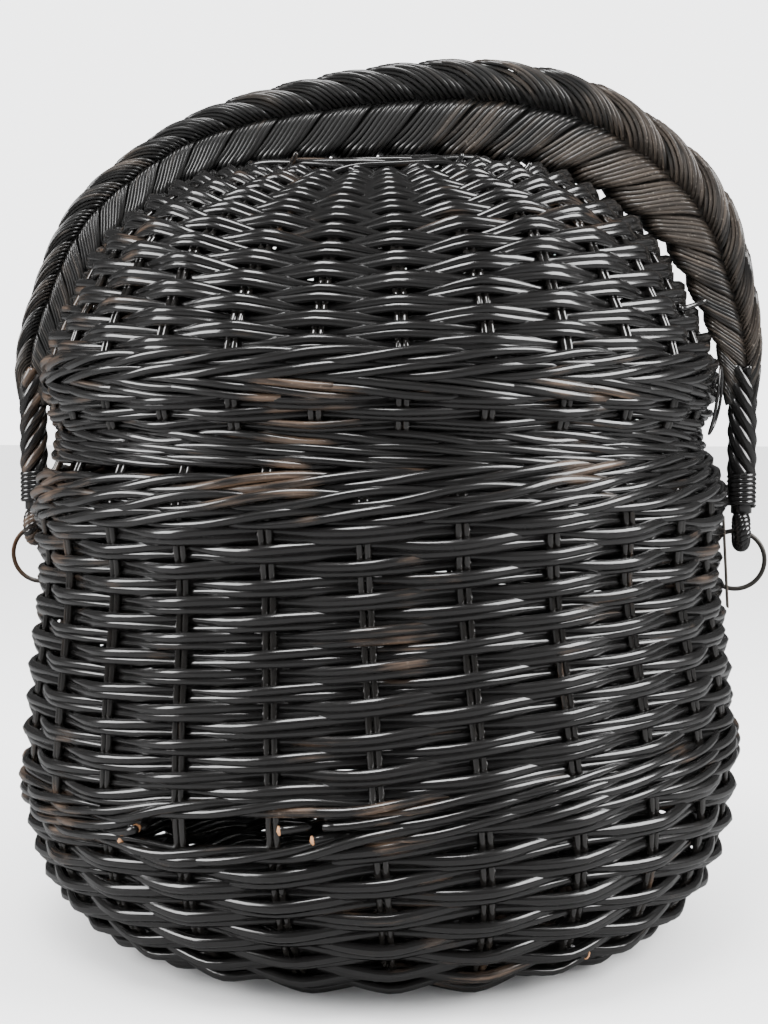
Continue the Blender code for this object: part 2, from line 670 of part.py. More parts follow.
def bow_place(turn):
    """(x, z, thickness) of the plait at an angle from the top of the bow, along the lid's outline."""
    radii, heights = zip(*lid_outline()[::-1])
    knots = np.arange(len(radii))
    fine = np.linspace(0, knots[-1], OUTLINE_STEPS)
    across, up = np.interp(fine, knots, radii), np.interp(fine, knots, heights) - BOW_CENTRE_HEIGHT
    reach = float(np.interp(abs(turn), np.arctan2(across, up), np.hypot(across, up))) + BOW_CLEARANCE
    share = abs(turn) / (math.pi / 2)
    shares, sizes = zip(*BRAID_SHARES)
    thickness = BRAID_THICKNESS * float(np.interp(share, shares, sizes)) + BRAID_LEAN * math.sin(2 * turn)
    middle = reach + thickness / 2
    return middle * math.sin(turn), BOW_CENTRE_HEIGHT + middle * math.cos(turn), thickness


def bow_places(count):
    """Places (x, z, turn) along the plait's middle, from its left end to its right end."""
    return [(*bow_place(turn)[:2], turn) for turn in np.linspace(-math.pi / 2, math.pi / 2, count)]


def leg_places(side, bottom, top, count):
    """Places (x, z, turn) down a leg of the handle, which hangs straight from the end of the plait."""
    return [(side * LEG_REACH, z, side * math.pi / 2) for z in np.linspace(top, bottom, count)]


def build_handle():
    """Core with an eye at each end, the plait over the bow, twisted legs and the wraps over the eyes' necks."""
    eye_top = PIVOT_HEIGHT + EYE_RADIUS
    run = leg_places(-1, eye_top, BOW_CENTRE_HEIGHT, 2)[::-1] + bow_places(CORE_STEPS)[1:-1]
    run += leg_places(1, eye_top, BOW_CENTRE_HEIGHT, 2)
    core = rod("handle_core", run, [CORE_RADIUS] * len(run), pieces)
    for place, name in ((run[0], "eye_left"), (run[-1], "eye_right")):
        centre = (place[0], 0.0, PIVOT_HEIGHT)
        eye = torus(name, EYE_RADIUS, EYE_ROPE_RADIUS, centre, (1.0, 0.0, 0.0), cutters, EYE_STEPS)
        boolean(core, make_cutter(eye), "UNION")
    give_finish(core, "black_stake")
    bore = make_cutter(rod("core_bore", run, [CORE_RADIUS + FIT_GAP] * len(run), cutters))
    moving = [core, build_braid()]
    for side, side_name in ((-1, "left"), (1, "right")):
        moving.append(build_leg(side, f"leg_twist_{side_name}"))
        wrap_places = leg_places(side, EYE_WRAP_BOTTOM, LEG_BOTTOM - FIT_GAP, 2)
        wrap = rod(f"eye_wrap_{side_name}", wrap_places, [EYE_WRAP_RADIUS] * 2, pieces)
        give_finish(wrap, "worn_willow")
        moving.append(wrap)
    for obj in moving[1:]:
        boolean(obj, bore, "DIFFERENCE")
    hang(moving, "handle_axis", (0.0, 0.0, PIVOT_HEIGHT))


def build_braid():
    """The plait over the bow, thickest past its top, with a lobe for each crossing of its bundles."""
    count = BRAID_LOBE_COUNT * BRAID_LOBE_STEPS + 1
    places = bow_places(count)
    radii = []
    for k, (_, _, turn) in enumerate(places):
        groove = 0.5 + 0.5 * math.cos(math.tau * k / BRAID_LOBE_STEPS)
        radii.append(bow_place(turn)[2] / 2 - BRAID_LOBE_DEPTH * groove)
    braid = rod("handle_braid", places, radii, pieces, BRAID_DEPTH_SHARE)
    give_finish(braid, "plaited_rush")
    return braid


def build_leg(side, name):
    """A twisted leg, with a groove at each half turn of its strands."""
    count = LEG_TURN_COUNT * LEG_TURN_STEPS + 1
    places = leg_places(side, LEG_BOTTOM, BOW_CENTRE_HEIGHT - BRAID_END_GAP, count)
    radii = []
    for k, taper in enumerate(np.linspace(LEG_TOP_RADIUS, LEG_RADIUS, count)):
        groove = 0.5 + 0.5 * math.cos(math.tau * k / LEG_TURN_STEPS)
        radii.append(taper - LEG_TURN_DEPTH * groove)
    leg = rod(name, places, radii, pieces)
    give_finish(leg, "black_willow")
    return leg


def ring_centre(side):
    """Centre of the ring on one side, under the handle's axis."""
    return (side * RING_REACH, 0.0, RING_CENTRE_HEIGHT)


def build_rings():
    """The two rings that carry the handle, each threaded through the wall."""
    for side, name in ((-1, "ring_left"), (1, "ring_right")):
        ring = torus(name, RING_RADIUS, RING_WIRE_RADIUS, ring_centre(side), (0.0, 1.0, 0.0), pieces, RING_STEPS)
        give_finish(ring, "dark_iron")


def hang(objects, name, place):
    """Parent moving pieces to an empty on their joint, where they stay."""
    empty = bpy.data.objects.new(name, None)
    empty.location = place
    pieces.objects.link(empty)
    for obj in objects:
        obj.parent = empty
        obj.matrix_parent_inverse = Matrix.Translation(-Vector(place))


clear_scene()
pieces = add_collection("wicker_basket")
cutters = add_collection("cutters")
build_base()
build_wall()
build_straps()
build_lid()
build_handle()
build_rings()
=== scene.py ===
"""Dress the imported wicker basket: woven willow, a plaited bow handle, iron rings and a pale studio.

Every rod, weaver and strand is a tube worked out with numpy and carried along its own path, on
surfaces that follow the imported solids. Lengths are metres unless a name says otherwise.
"""

from __future__ import annotations

import logging
import math
from dataclasses import dataclass, field
from enum import Enum

import bpy
import numpy as np
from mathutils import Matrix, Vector

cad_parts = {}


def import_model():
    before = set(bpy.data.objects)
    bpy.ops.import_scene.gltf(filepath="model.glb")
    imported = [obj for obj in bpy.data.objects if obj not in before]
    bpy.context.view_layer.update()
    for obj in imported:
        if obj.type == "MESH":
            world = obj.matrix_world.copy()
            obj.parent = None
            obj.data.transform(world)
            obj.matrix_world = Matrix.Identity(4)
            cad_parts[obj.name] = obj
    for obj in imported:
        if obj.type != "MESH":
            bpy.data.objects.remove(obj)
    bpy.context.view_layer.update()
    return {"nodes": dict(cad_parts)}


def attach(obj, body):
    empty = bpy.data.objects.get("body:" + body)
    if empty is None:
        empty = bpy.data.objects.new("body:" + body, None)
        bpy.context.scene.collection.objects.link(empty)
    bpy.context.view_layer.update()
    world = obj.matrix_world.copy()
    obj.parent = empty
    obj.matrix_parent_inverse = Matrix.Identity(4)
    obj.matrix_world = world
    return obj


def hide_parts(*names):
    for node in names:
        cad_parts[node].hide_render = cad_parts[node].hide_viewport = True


LOG = logging.getLogger("basket")
MM = 0.001
TAU = 2.0 * math.pi
Array = np.ndarray

# Sizes of the solids that the woven surfaces follow
BELLY_RADIUS = 153.5 * MM
WALL_HEIGHT = 194.0 * MM
WALL_SHARES = (
    (0.0155, 0.752), (0.0515, 0.837), (0.118, 0.916), (0.216, 0.972), (0.356, 1.000), (0.515, 0.990),
    (0.800, 0.954), (1.000, 0.949), (1.0206, 0.930), (1.075, 0.911),
)
LID_FOOT = 207.5 * MM
LID_HEIGHT = 119.5 * MM
LID_RADIUS = 143.97 * MM
LID_SHARES = (
    (0.000, 0.958), (0.062, 0.981), (0.195, 1.000), (0.2535, 1.000), (0.338, 0.983), (0.405, 0.962),
    (0.514, 0.915), (0.690, 0.834), (0.790, 0.752), (0.857, 0.673), (0.924, 0.584), (0.968, 0.486),
    (0.991, 0.347), (1.000, 0.000),
)
DOME_END_SHARE = 0.690
TRIM_END_SHARE = 0.405
PIVOT_HEIGHT = 169.0 * MM
LEG_REACH = 154.95 * MM
BODY_STAKES = 26
LID_STAKES = 28
STAKE_OFFSET = 0.75
BACK = math.pi / 2.0
# Height of a tube's rounded end over its radius, and how far its tone shifts its grain along it
CAP_SHARE = 0.35
GRAIN_SHIFT = 7.13


def unit(vectors: Array) -> Array:
    """Scale vectors along the last axis to length one.

    Args:
        vectors: Vectors of any leading shape.

    Returns:
        The same vectors, each over its own length.
    """
    return vectors / np.maximum(np.linalg.norm(vectors, axis=-1, keepdims=True), 1e-12)


def smooth_curve(points: Array, steps: int) -> Array:
    """Run a cubic curve through points, with even steps along it.

    Each span is a Hermite cubic over chord length, whose end slopes are central differences.

    Args:
        points: Points in order, one a row.
        steps: How many points to return.

    Returns:
        Points on the curve, one a row.
    """
    points = np.asarray(points, float)
    chord = np.concatenate([[0.0], np.cumsum(np.linalg.norm(np.diff(points, axis=0), axis=1))])
    slope = np.gradient(points, chord, axis=0)
    fine = np.linspace(0.0, chord[-1], 8 * steps)
    k = np.clip(np.searchsorted(chord, fine, side="right") - 1, 0, len(chord) - 2)
    span = (chord[k + 1] - chord[k])[:, None]
    t = (fine - chord[k])[:, None] / span
    curve = (
        (2 * t**3 - 3 * t**2 + 1) * points[k]
        + (t**3 - 2 * t**2 + t) * span * slope[k]
        + (3 * t**2 - 2 * t**3) * points[k + 1]
        + (t**3 - t**2) * span * slope[k + 1]
    )
    run = np.concatenate([[0.0], np.cumsum(np.linalg.norm(np.diff(curve, axis=0), axis=1))])
    even = np.linspace(0.0, run[-1], steps)
    return np.stack([np.interp(even, run, curve[:, c]) for c in range(points.shape[1])], axis=1)


def weave_wave(angle: Array) -> Array:
    """Carry a weaver from in front of a stake to behind the next: a triangle wave with rounded tips.

    It is asin(s cos a) / asin(s), which runs straight between the stakes for s near one.

    Args:
        angle: Half turns of the wave, in radians: 0 in front of a stake, pi behind one.

    Returns:
        Numbers from 1 in front to -1 behind.
    """
    sharpness = 0.93
    return np.arcsin(sharpness * np.cos(angle)) / math.asin(sharpness)


def ripple(angle: Array, rng: np.random.Generator, waves: int = 5, fastest: int = 23) -> Array:
    """Make a smooth random wobble that closes after a full turn.

    It is a sum of sines with whole numbers of waves a turn and random phases, scaled to about one.

    Args:
        angle: Angles to read it at.
        rng: Source of the phases.
        waves: How many sines.
        fastest: The most waves a turn.

    Returns:
        The wobble at each angle.
    """
    counts = rng.integers(2, fastest, waves)
    phases = rng.uniform(0.0, TAU, waves)
    return np.sin(angle[..., None] * counts + phases).sum(axis=-1) / math.sqrt(waves)


@dataclass
class StrandMesh:
    """Tubes carried along paths, gathered into one mesh with their own grain and tone."""

    name: str
    verts: list[Array] = field(default_factory=list)
    quads: list[Array] = field(default_factory=list)
    tris: list[Array] = field(default_factory=list)
    places: list[Array] = field(default_factory=list)
    tones: list[Array] = field(default_factory=list)
    used: int = 0

    def add(self, paths: Array, normals: Array, radii: Array | float, tones: Array | float,
            sides: int = 6, flat: float = 1.0, closed: bool = False) -> None:
        """Carry a round or flattened section along each path.

        A vertex is path + radius * (cos a * n + flat * sin a * b), where n is the given normal made
        square to the path and b is the tangent crossed with n. Open ends get a low round cap.

        Args:
            paths: Points of every path, (strands, steps, 3).
            normals: A direction off the surface at each point, same shape.
            radii: Radius for each point, or one for all.
            tones: One shade between 0 and 1 for each strand.
            sides: Facets round a tube.
            flat: Width of the section over its thickness.
            closed: Whether each path joins its own start.
        """
        count, steps = paths.shape[:2]
        radii = np.broadcast_to(np.asarray(radii, float), (count, steps))
        tones = np.broadcast_to(np.asarray(tones, float), (count,))
        if closed:
            ahead = np.roll(paths, -1, axis=1) - np.roll(paths, 1, axis=1)
        else:
            ahead = np.gradient(paths, axis=1)
        ahead = unit(ahead)
        side = unit(np.cross(ahead, normals))
        up = np.cross(side, ahead)
        turn = np.arange(sides) * (TAU / sides)
        ring = (np.cos(turn)[:, None] * up[:, :, None, :]
                + flat * np.sin(turn)[:, None] * side[:, :, None, :])
        verts = paths[:, :, None, :] + radii[:, :, None, None] * ring
        run = np.concatenate([np.zeros((count, 1)),
                              np.cumsum(np.linalg.norm(np.diff(paths, axis=1), axis=2), axis=1)], axis=1)
        run = run + tones[:, None] * GRAIN_SHIFT
        place = np.stack(np.broadcast_arrays(
            radii[:, :, None] * np.cos(turn), radii[:, :, None] * np.sin(turn), run[:, :, None]), axis=-1)
        index = self.used + np.arange(count * steps * sides).reshape(count, steps, sides)
        nxt = np.roll(index, -1, axis=2)
        if closed:
            after, after_nxt = np.roll(index, -1, axis=1), np.roll(nxt, -1, axis=1)
            quads = np.stack([index, nxt, after_nxt, after], axis=-1)
        else:
            quads = np.stack([index[:, :-1], nxt[:, :-1], nxt[:, 1:], index[:, 1:]], axis=-1)
        self.verts.append(verts.reshape(-1, 3))
        self.places.append(place.reshape(-1, 3))
        self.tones.append(np.repeat(tones, steps * sides))
        self.quads.append(quads.reshape(-1, 4))
        self.used += count * steps * sides
        if closed:
            return
        for end, sign in ((0, -1.0), (-1, 1.0)):
            tip = paths[:, end] + sign * CAP_SHARE * radii[:, end, None] * ahead[:, end]
            tip_index = np.repeat(self.used + np.arange(count), sides).reshape(count, sides)
            rim, rim_nxt = index[:, end], nxt[:, end]
            order = (tip_index, rim_nxt, rim) if sign < 0 else (tip_index, rim, rim_nxt)
            self.verts.append(tip)
            self.places.append(place[:, end].mean(axis=1))
            self.tones.append(tones)
            self.tris.append(np.stack(order, axis=-1).reshape(-1, 3))
            self.used += count

    def build(self) -> bpy.types.Object:
        """Write the gathered tubes into a new object.

        Returns:
            The object, with the point attributes rod_place and tone.
        """
        quads = np.concatenate(self.quads)
        tris = np.concatenate(self.tris) if self.tris else np.zeros((0, 3), int)
        verts = np.concatenate(self.verts)
        mesh = bpy.data.meshes.new(self.name)
        mesh.vertices.add(len(verts))
        mesh.vertices.foreach_set("co", verts.astype(np.float32).ravel())
        mesh.loops.add(quads.size + tris.size)
        mesh.loops.foreach_set("vertex_index", np.concatenate([quads.ravel(), tris.ravel()]).astype(np.int32))
        starts = np.concatenate([np.arange(len(quads)) * 4, quads.size + np.arange(len(tris)) * 3])
        mesh.polygons.add(len(starts))
        mesh.polygons.foreach_set("loop_start", starts.astype(np.int32))
        mesh.update(calc_edges=True)
        mesh.shade_smooth()
        place = mesh.attributes.new("rod_place", "FLOAT_VECTOR", "POINT")
        place.data.foreach_set("vector", np.concatenate(self.places).astype(np.float32).ravel())
        tone = mesh.attributes.new("tone", "FLOAT", "POINT")
        tone.data.foreach_set("value", np.concatenate(self.tones).astype(np.float32))
        piece = bpy.data.objects.new(self.name, mesh)
        bpy.context.scene.collection.objects.link(piece)
        LOG.info("%s: %d triangles", self.name, 2 * len(quads) + len(tris))
        return piece


@dataclass
class Former:
    """A surface that rods are woven on, as a table over azimuth and the share of the way up it.

    Each row of the table holds radius, height, and the normal's radial, tangential and upward parts.
    A turned surface has one azimuth only.
    """

    table: Array
    length: Array

    @staticmethod
    def turned(outline: Array, inset: float) -> "Former":
        """Turn an outline about the upright axis, moved inward by an inset.

        Args:
            outline: Points of (radius, height) from bottom to top, evenly spaced.
            inset: Distance from the outline to the surface.

        Returns:
            The surface.
        """
        slope = unit(np.gradient(outline, axis=0))
        normal = np.stack([slope[:, 1], -slope[:, 0]], axis=1)
        moved = outline - inset * normal
        run = np.linalg.norm(np.diff(moved, axis=0), axis=1).sum()
        table = np.concatenate([moved, normal[:, :1], np.zeros((len(moved), 1)), normal[:, 1:]], axis=1)
        return Former(table[None], np.array([run]))

    def share_at(self, height: Array | float) -> Array:
        """Share of the way up at a height, on a turned surface."""
        return np.interp(height, self.table[0, :, 1], np.linspace(0.0, 1.0, self.table.shape[1]))

    def height_at(self, share: Array) -> Array:
        """Height at a share of the way up, on a turned surface."""
        return np.interp(share, np.linspace(0.0, 1.0, self.table.shape[1]), self.table[0, :, 1])

    def share_of_radius(self, radius: float) -> float:
        """Share of the way up at a distance from the upright axis, where the surface widens as it rises."""
        levels = self.table.shape[1]
        widening = slice(levels // 2)
        return float(np.interp(radius, self.table[0, widening, 0], np.linspace(0.0, 1.0, levels)[widening]))

    def length_at(self, azimuth: Array) -> Array:
        """Length of the way up at an azimuth."""
        count = len(self.length)
        return np.interp(np.mod(azimuth, TAU), np.arange(count + 1) * TAU / count,
                         np.append(self.length, self.length[0]))

    def at(self, azimuth: Array, share: Array, out: Array | float) -> tuple[Array, Array]:
        """Point off the surface, and the normal there.

        The table is read linearly between its rows, and the normal times out is added to its point.

        Args:
            azimuth: Angle about the upright axis.
            share: Share of the way up.
            out: Distance off the surface.

        Returns:
            Points and unit normals, (..., 3).
        """
        azimuth, share, out = np.broadcast_arrays(azimuth, share, out)
        count, levels = self.table.shape[:2]
        place = np.mod(azimuth / TAU * count, count)
        i = np.floor(place).astype(int)
        across = (place - i)[..., None]
        i = i % count
        rise = np.clip(share, 0.0, 1.0) * (levels - 1)
        j = np.minimum(np.floor(rise).astype(int), levels - 2)
        up = (rise - j)[..., None]
        k = (i + 1) % count
        read = ((self.table[i, j] * (1 - across) + self.table[k, j] * across) * (1 - up)
                + (self.table[i, j + 1] * (1 - across) + self.table[k, j + 1] * across) * up)
        cos, sin = np.cos(azimuth), np.sin(azimuth)
        radial, tangent = read[..., 2], read[..., 3]
        flat_part = [radial * cos - tangent * sin, radial * sin + tangent * cos]
        normal = unit(np.stack([*flat_part, read[..., 4]], axis=-1))
        point = np.stack([read[..., 0] * cos, read[..., 0] * sin, read[..., 1]], axis=-1)
        return point + normal * out[..., None], normal


class Lean(Enum):
    """Which way the long strands of a wale rise, seen from outside."""

    UP_TO_RIGHT = 1
    DOWN_TO_RIGHT = -1


def lid_outline() -> Array:
    """Smooth outline of the lid from its foot to its top, as (radius, height)."""
    points = np.array([(share * LID_RADIUS, LID_FOOT + level * LID_HEIGHT) for level, share in LID_SHARES])
    return smooth_curve(points, 260)


@dataclass
class WeaveCraft:
    """Ways of laying rods on a former: slewed rows, wales and pairing."""

    former: Former
    stakes: int
    swing: float = 0.0
    packing: float = 0.90
    draw_in: float = 0.20
    flat: float = 1.16
    taper: float = 0.13
    uneven: float = 0.05
    fanning: float = 0.04
    riding: float = 0.32
    parting: float = 0.12 * MM
    wobble_up: float = 0.16 * MM
    wobble_out: float = 0.18 * MM
    wale_uneven: float = 0.10
    wale_wobble_up: float = 0.18 * MM
    wale_wobble_out: float = 0.15 * MM

    def stake_azimuths(self) -> Array:
        """Azimuths of the stakes where they meet the top of the former."""
        return TAU * (np.arange(self.stakes) + STAKE_OFFSET) / self.stakes

    def swing_at(self, azimuth: Array, share: Array) -> Array:
        """How far a stake has moved round at a share of the way up: most at the bottom right."""
        return self.swing * (0.5 + 0.5 * np.cos(azimuth)) * np.clip(1.0 - share, 0.0, 1.0) ** 1.2

    def phase(self, azimuth: Array, share: Array) -> Array:
        """Stakes passed since the first one, at an azimuth."""
        return (azimuth - self.swing_at(azimuth, share)) * self.stakes / TAU - STAKE_OFFSET

    def slewed(self, mesh: StrandMesh, shares: Array, reach: float, radius: float, rng: np.random.Generator,
               sides: int = 6, slant: float = 0.0, rods: int = 2, points: int = 7) -> None:
        """Lay rows of rods in bundles, each in front of one stake and behind the next.

        Off the surface a bundle stands at reach * cos(pi * (stakes passed + row)), and the rods of a
        bundle lie side by side, drawing together where a thin tip meets a thick butt.

        Args:
            mesh: Where the rods go.
            shares: Share of the way up at each row and step, (rows, steps), or one for each row.
            reach: How far a bundle stands off the surface at a stake.
            radius: Radius of a rod.
            rng: Source of the unevenness.
            sides: Facets round a rod.
            slant: How far a bundle climbs to the right as it passes a stake, at the right side.
            rods: Rods in a bundle.
            points: Points from one stake to the next.
        """
        rows = len(shares)
        steps = points * self.stakes + 1
        azimuth = np.linspace(BACK, BACK + TAU, steps)
        base = np.broadcast_to(shares.reshape(rows, -1), (rows, steps))
        length = self.former.length_at(azimuth)
        for rod in range(rods):
            offset = (rod - (rods - 1) / 2.0) * 2.0 * radius * self.packing
            sign = 1 if rod else -1
            paths, normals, radii = [], [], []
            for row in range(rows):
                passed = self.phase(azimuth, base[row])
                wave = np.pi * (passed + row)
                taper = 1.0 + self.taper * np.sin(azimuth * 1.5 + rng.uniform(0, TAU)) * sign
                taper = taper + self.uneven * ripple(azimuth, rng)
                drawn = 1.0 - self.draw_in * (0.5 + 0.5 * np.cos(wave))
                climb = slant * np.sin(wave) * (0.5 + 0.5 * np.cos(azimuth))
                lift = offset * drawn * (1.0 + self.fanning * ripple(azimuth, rng)) + climb
                lift = lift + self.wobble_up * ripple(azimuth, rng) + self.parting * sign * np.sin(wave)
                out = reach * weave_wave(wave) + self.wobble_out * ripple(azimuth, rng)
                out = out + self.riding * radius * sign * (1.0 - drawn) / self.draw_in
                point, normal = self.former.at(azimuth, base[row] + lift / length, out)
                paths.append(point)
                normals.append(normal)
                radii.append(radius * taper)
            tones = rng.uniform(0.0, 1.0, rows)
            mesh.add(np.array(paths), np.array(normals), np.array(radii), tones, sides, self.flat)

    def wale(self, mesh: StrandMesh, share: Array | float, reach: float, height: float, radius: float,
             lean: Lean, rng: np.random.Generator, strands: int = 3, outward: float = 0.4,
             sides: int = 7, points: int = 8, span: tuple[float, float] = (BACK, BACK + TAU)) -> None:
        """Lay one row of twisted weavers, each in front of two stakes and behind one.

        With u the turns of the twist, a weaver stands off the surface by reach * (cos u + outward) /
        (1 + outward) and above the row's middle by height / 2 * sin u.

        Args:
            mesh: Where the weavers go.
            share: Share of the way up of the row's middle, one or one for each step.
            reach: How far a weaver stands off the surface.
            height: How far the twist carries a weaver up and down.
            radius: Radius of a weaver.
            lean: Which way the strands rise.
            rng: Source of the unevenness.
            strands: How many weavers are twisted together.
            outward: How much longer a weaver stays outside than inside.
            sides: Facets round a weaver.
            points: Points from one stake to the next.
            span: Azimuths where the weavers start and end.
        """
        share = np.atleast_1d(np.asarray(share, float))
        steps = len(share) if len(share) > 1 else points * self.stakes + 1
        azimuth = np.linspace(span[0], span[1], steps)
        share = np.broadcast_to(share, (steps,))
        length = self.former.length_at(azimuth)
        passed = self.phase(azimuth, share)
        paths, normals, radii = [], [], []
        for strand in range(strands):
            turn = TAU * (passed / strands + strand / strands) + 0.5 * np.pi / strands
            out = reach * (np.cos(turn) + outward) / (1.0 + outward)
            out = out + self.wale_wobble_out * ripple(azimuth, rng)
            lift = lean.value * 0.5 * height * np.sin(turn) + self.wale_wobble_up * ripple(azimuth, rng)
            point, normal = self.former.at(azimuth, share + lift / length, out)
            paths.append(point)
            normals.append(normal)
            radii.append(radius * (1.0 + self.wale_uneven * ripple(azimuth, rng, 3, 9)))
        mesh.add(np.array(paths), np.array(normals), np.array(radii), rng.uniform(0, 1, strands), sides)


@dataclass(frozen=True)
class Finish:
    """A procedural finish of rods: dark lacquer over willow, worn through to brown."""

    name: str
    dark: tuple[float, float, float] = (0.0045, 0.0043, 0.0042)
    brown: tuple[float, float, float] = (0.050, 0.030, 0.018)
    wear: float = 0.35
    shine: float = 0.24
    dull: float = 0.50
    coat: float = 0.5
    coat_roughness: float = 0.05
    metallic: float = 0.0
    bump: float = 0.35
    bump_depth: float = 0.35 * MM
    refraction: float = 1.4
    faded_right: float = 0.0
    fade_span: tuple[float, float] = (-25 * MM, 40 * MM)

    def make(self) -> bpy.types.Material:
        """Build the material from the shared grain group.

        Returns:
            The material.
        """
        material = bpy.data.materials.new(self.name)
        material.use_nodes = True
        tree = material.node_tree
        shader = tree.nodes["Principled BSDF"]
        shader.inputs["Coat Weight"].default_value = self.coat
        shader.inputs["Coat Roughness"].default_value = self.coat_roughness
        shader.inputs["Metallic"].default_value = self.metallic
        shader.inputs["IOR"].default_value = self.refraction
        grain = tree.nodes.new("ShaderNodeGroup")
        grain.node_tree = grain_group()
        grain.inputs["Dark"].default_value = (*self.dark, 1.0)
        grain.inputs["Brown"].default_value = (*self.brown, 1.0)
        grain.inputs["Wear"].default_value = self.wear
        if self.faded_right:
            graph = Graph(tree)
            where = graph.node("ShaderNodeTexCoord").outputs["Object"]
            x = graph.node("ShaderNodeSeparateXYZ", {0: where}).outputs["X"]
            fade = graph.ramp(x, *self.fade_span, self.wear, self.wear + self.faded_right)
            tree.links.new(fade, grain.inputs["Wear"])
        grain.inputs["Shine"].default_value = self.shine
        grain.inputs["Dull"].default_value = self.dull
        bump = tree.nodes.new("ShaderNodeBump")
        bump.inputs["Strength"].default_value = self.bump
        bump.inputs["Distance"].default_value = self.bump_depth
        tree.links.new(grain.outputs["Color"], shader.inputs["Base Color"])
        tree.links.new(grain.outputs["Roughness"], shader.inputs["Roughness"])
        tree.links.new(grain.outputs["Height"], bump.inputs["Height"])
        tree.links.new(bump.outputs["Normal"], shader.inputs["Normal"])
        return material


@dataclass
class Graph:
    """A short way to add and join the nodes of a tree."""

    tree: bpy.types.NodeTree

    def node(self, kind: str, inputs: dict | None = None, **settings: object) -> bpy.types.Node:
        """Add a node.

        Args:
            kind: Its type's identifier.
            inputs: Values or sockets for its inputs, by name or number.
            settings: Values for its own settings.

        Returns:
            The node.
        """
        node = self.tree.nodes.new(kind)
        for key, value in settings.items():
            setattr(node, key, value)
        for key, value in (inputs or {}).items():
            if isinstance(value, bpy.types.NodeSocket):
                self.tree.links.new(value, node.inputs[key])
            else:
                node.inputs[key].default_value = value
        return node

    def math(self, operation: str, first: object, second: object = 0.0) -> bpy.types.NodeSocket:
        """Result of a Math node on two values or sockets."""
        return self.node("ShaderNodeMath", {0: first, 1: second}, operation=operation).outputs[0]

    def about_half(self, value: object, scale: float) -> bpy.types.NodeSocket:
        """How far a value lies above one half, times a scale."""
        return self.math("MULTIPLY", self.math("SUBTRACT", value, 0.5), scale)

    def noise(self, place: object, scale: float, detail: float) -> bpy.types.NodeSocket:
        """Value of a Noise node at a place."""
        return self.node("ShaderNodeTexNoise", {"Vector": place, "Scale": scale, "Detail": detail}).outputs[0]

    def ramp(self, value: object, low: float, high: float, to_low: float = 0.0,
             to_high: float = 1.0) -> bpy.types.NodeSocket:
        """Value carried smoothly from one range to another."""
        node = self.node("ShaderNodeMapRange", {0: value, 1: low, 2: high, 3: to_low, 4: to_high},
                         interpolation_type="SMOOTHSTEP")
        return node.outputs[0]

    def mix(self, share: object, first: object, second: object) -> bpy.types.NodeSocket:
        """Colour between two colours."""
        node = self.node("ShaderNodeMix", data_type="RGBA")
        for key, value in ((0, share), (6, first), (7, second)):
            if isinstance(value, bpy.types.NodeSocket):
                self.tree.links.new(value, node.inputs[key])
            else:
                node.inputs[key].default_value = value
        return node.outputs[2]


@dataclass(frozen=True)
class Grain:
    """How lacquered willow is streaked and worn. Scales are waves a metre, and shares are of the wear."""

    fibre_scale: tuple[float, float, float] = (900.0, 900.0, 45.0)
    blotch_scale: tuple[float, float, float] = (120.0, 120.0, 30.0)
    patch_scale: float = 21.0
    speck_scale: float = 950.0
    tone_share: float = 0.22
    blotch_share: float = 0.5
    fibre_share: float = 0.3
    left_span: tuple[float, float] = (-140 * MM, -70 * MM)
    left_share: float = 0.16
    worn_span: tuple[float, float] = (0.50, 0.74)
    streak_span: tuple[float, float, float, float] = (0.35, 0.75, 0.55, 1.5)
    dust_span: tuple[float, float, float, float] = (0.60, 0.72, 0.0, 0.25)
    dust: tuple[float, float, float, float] = (0.22, 0.19, 0.16, 1.0)
    rough_share: float = 0.22
    blotch_height: float = 0.8


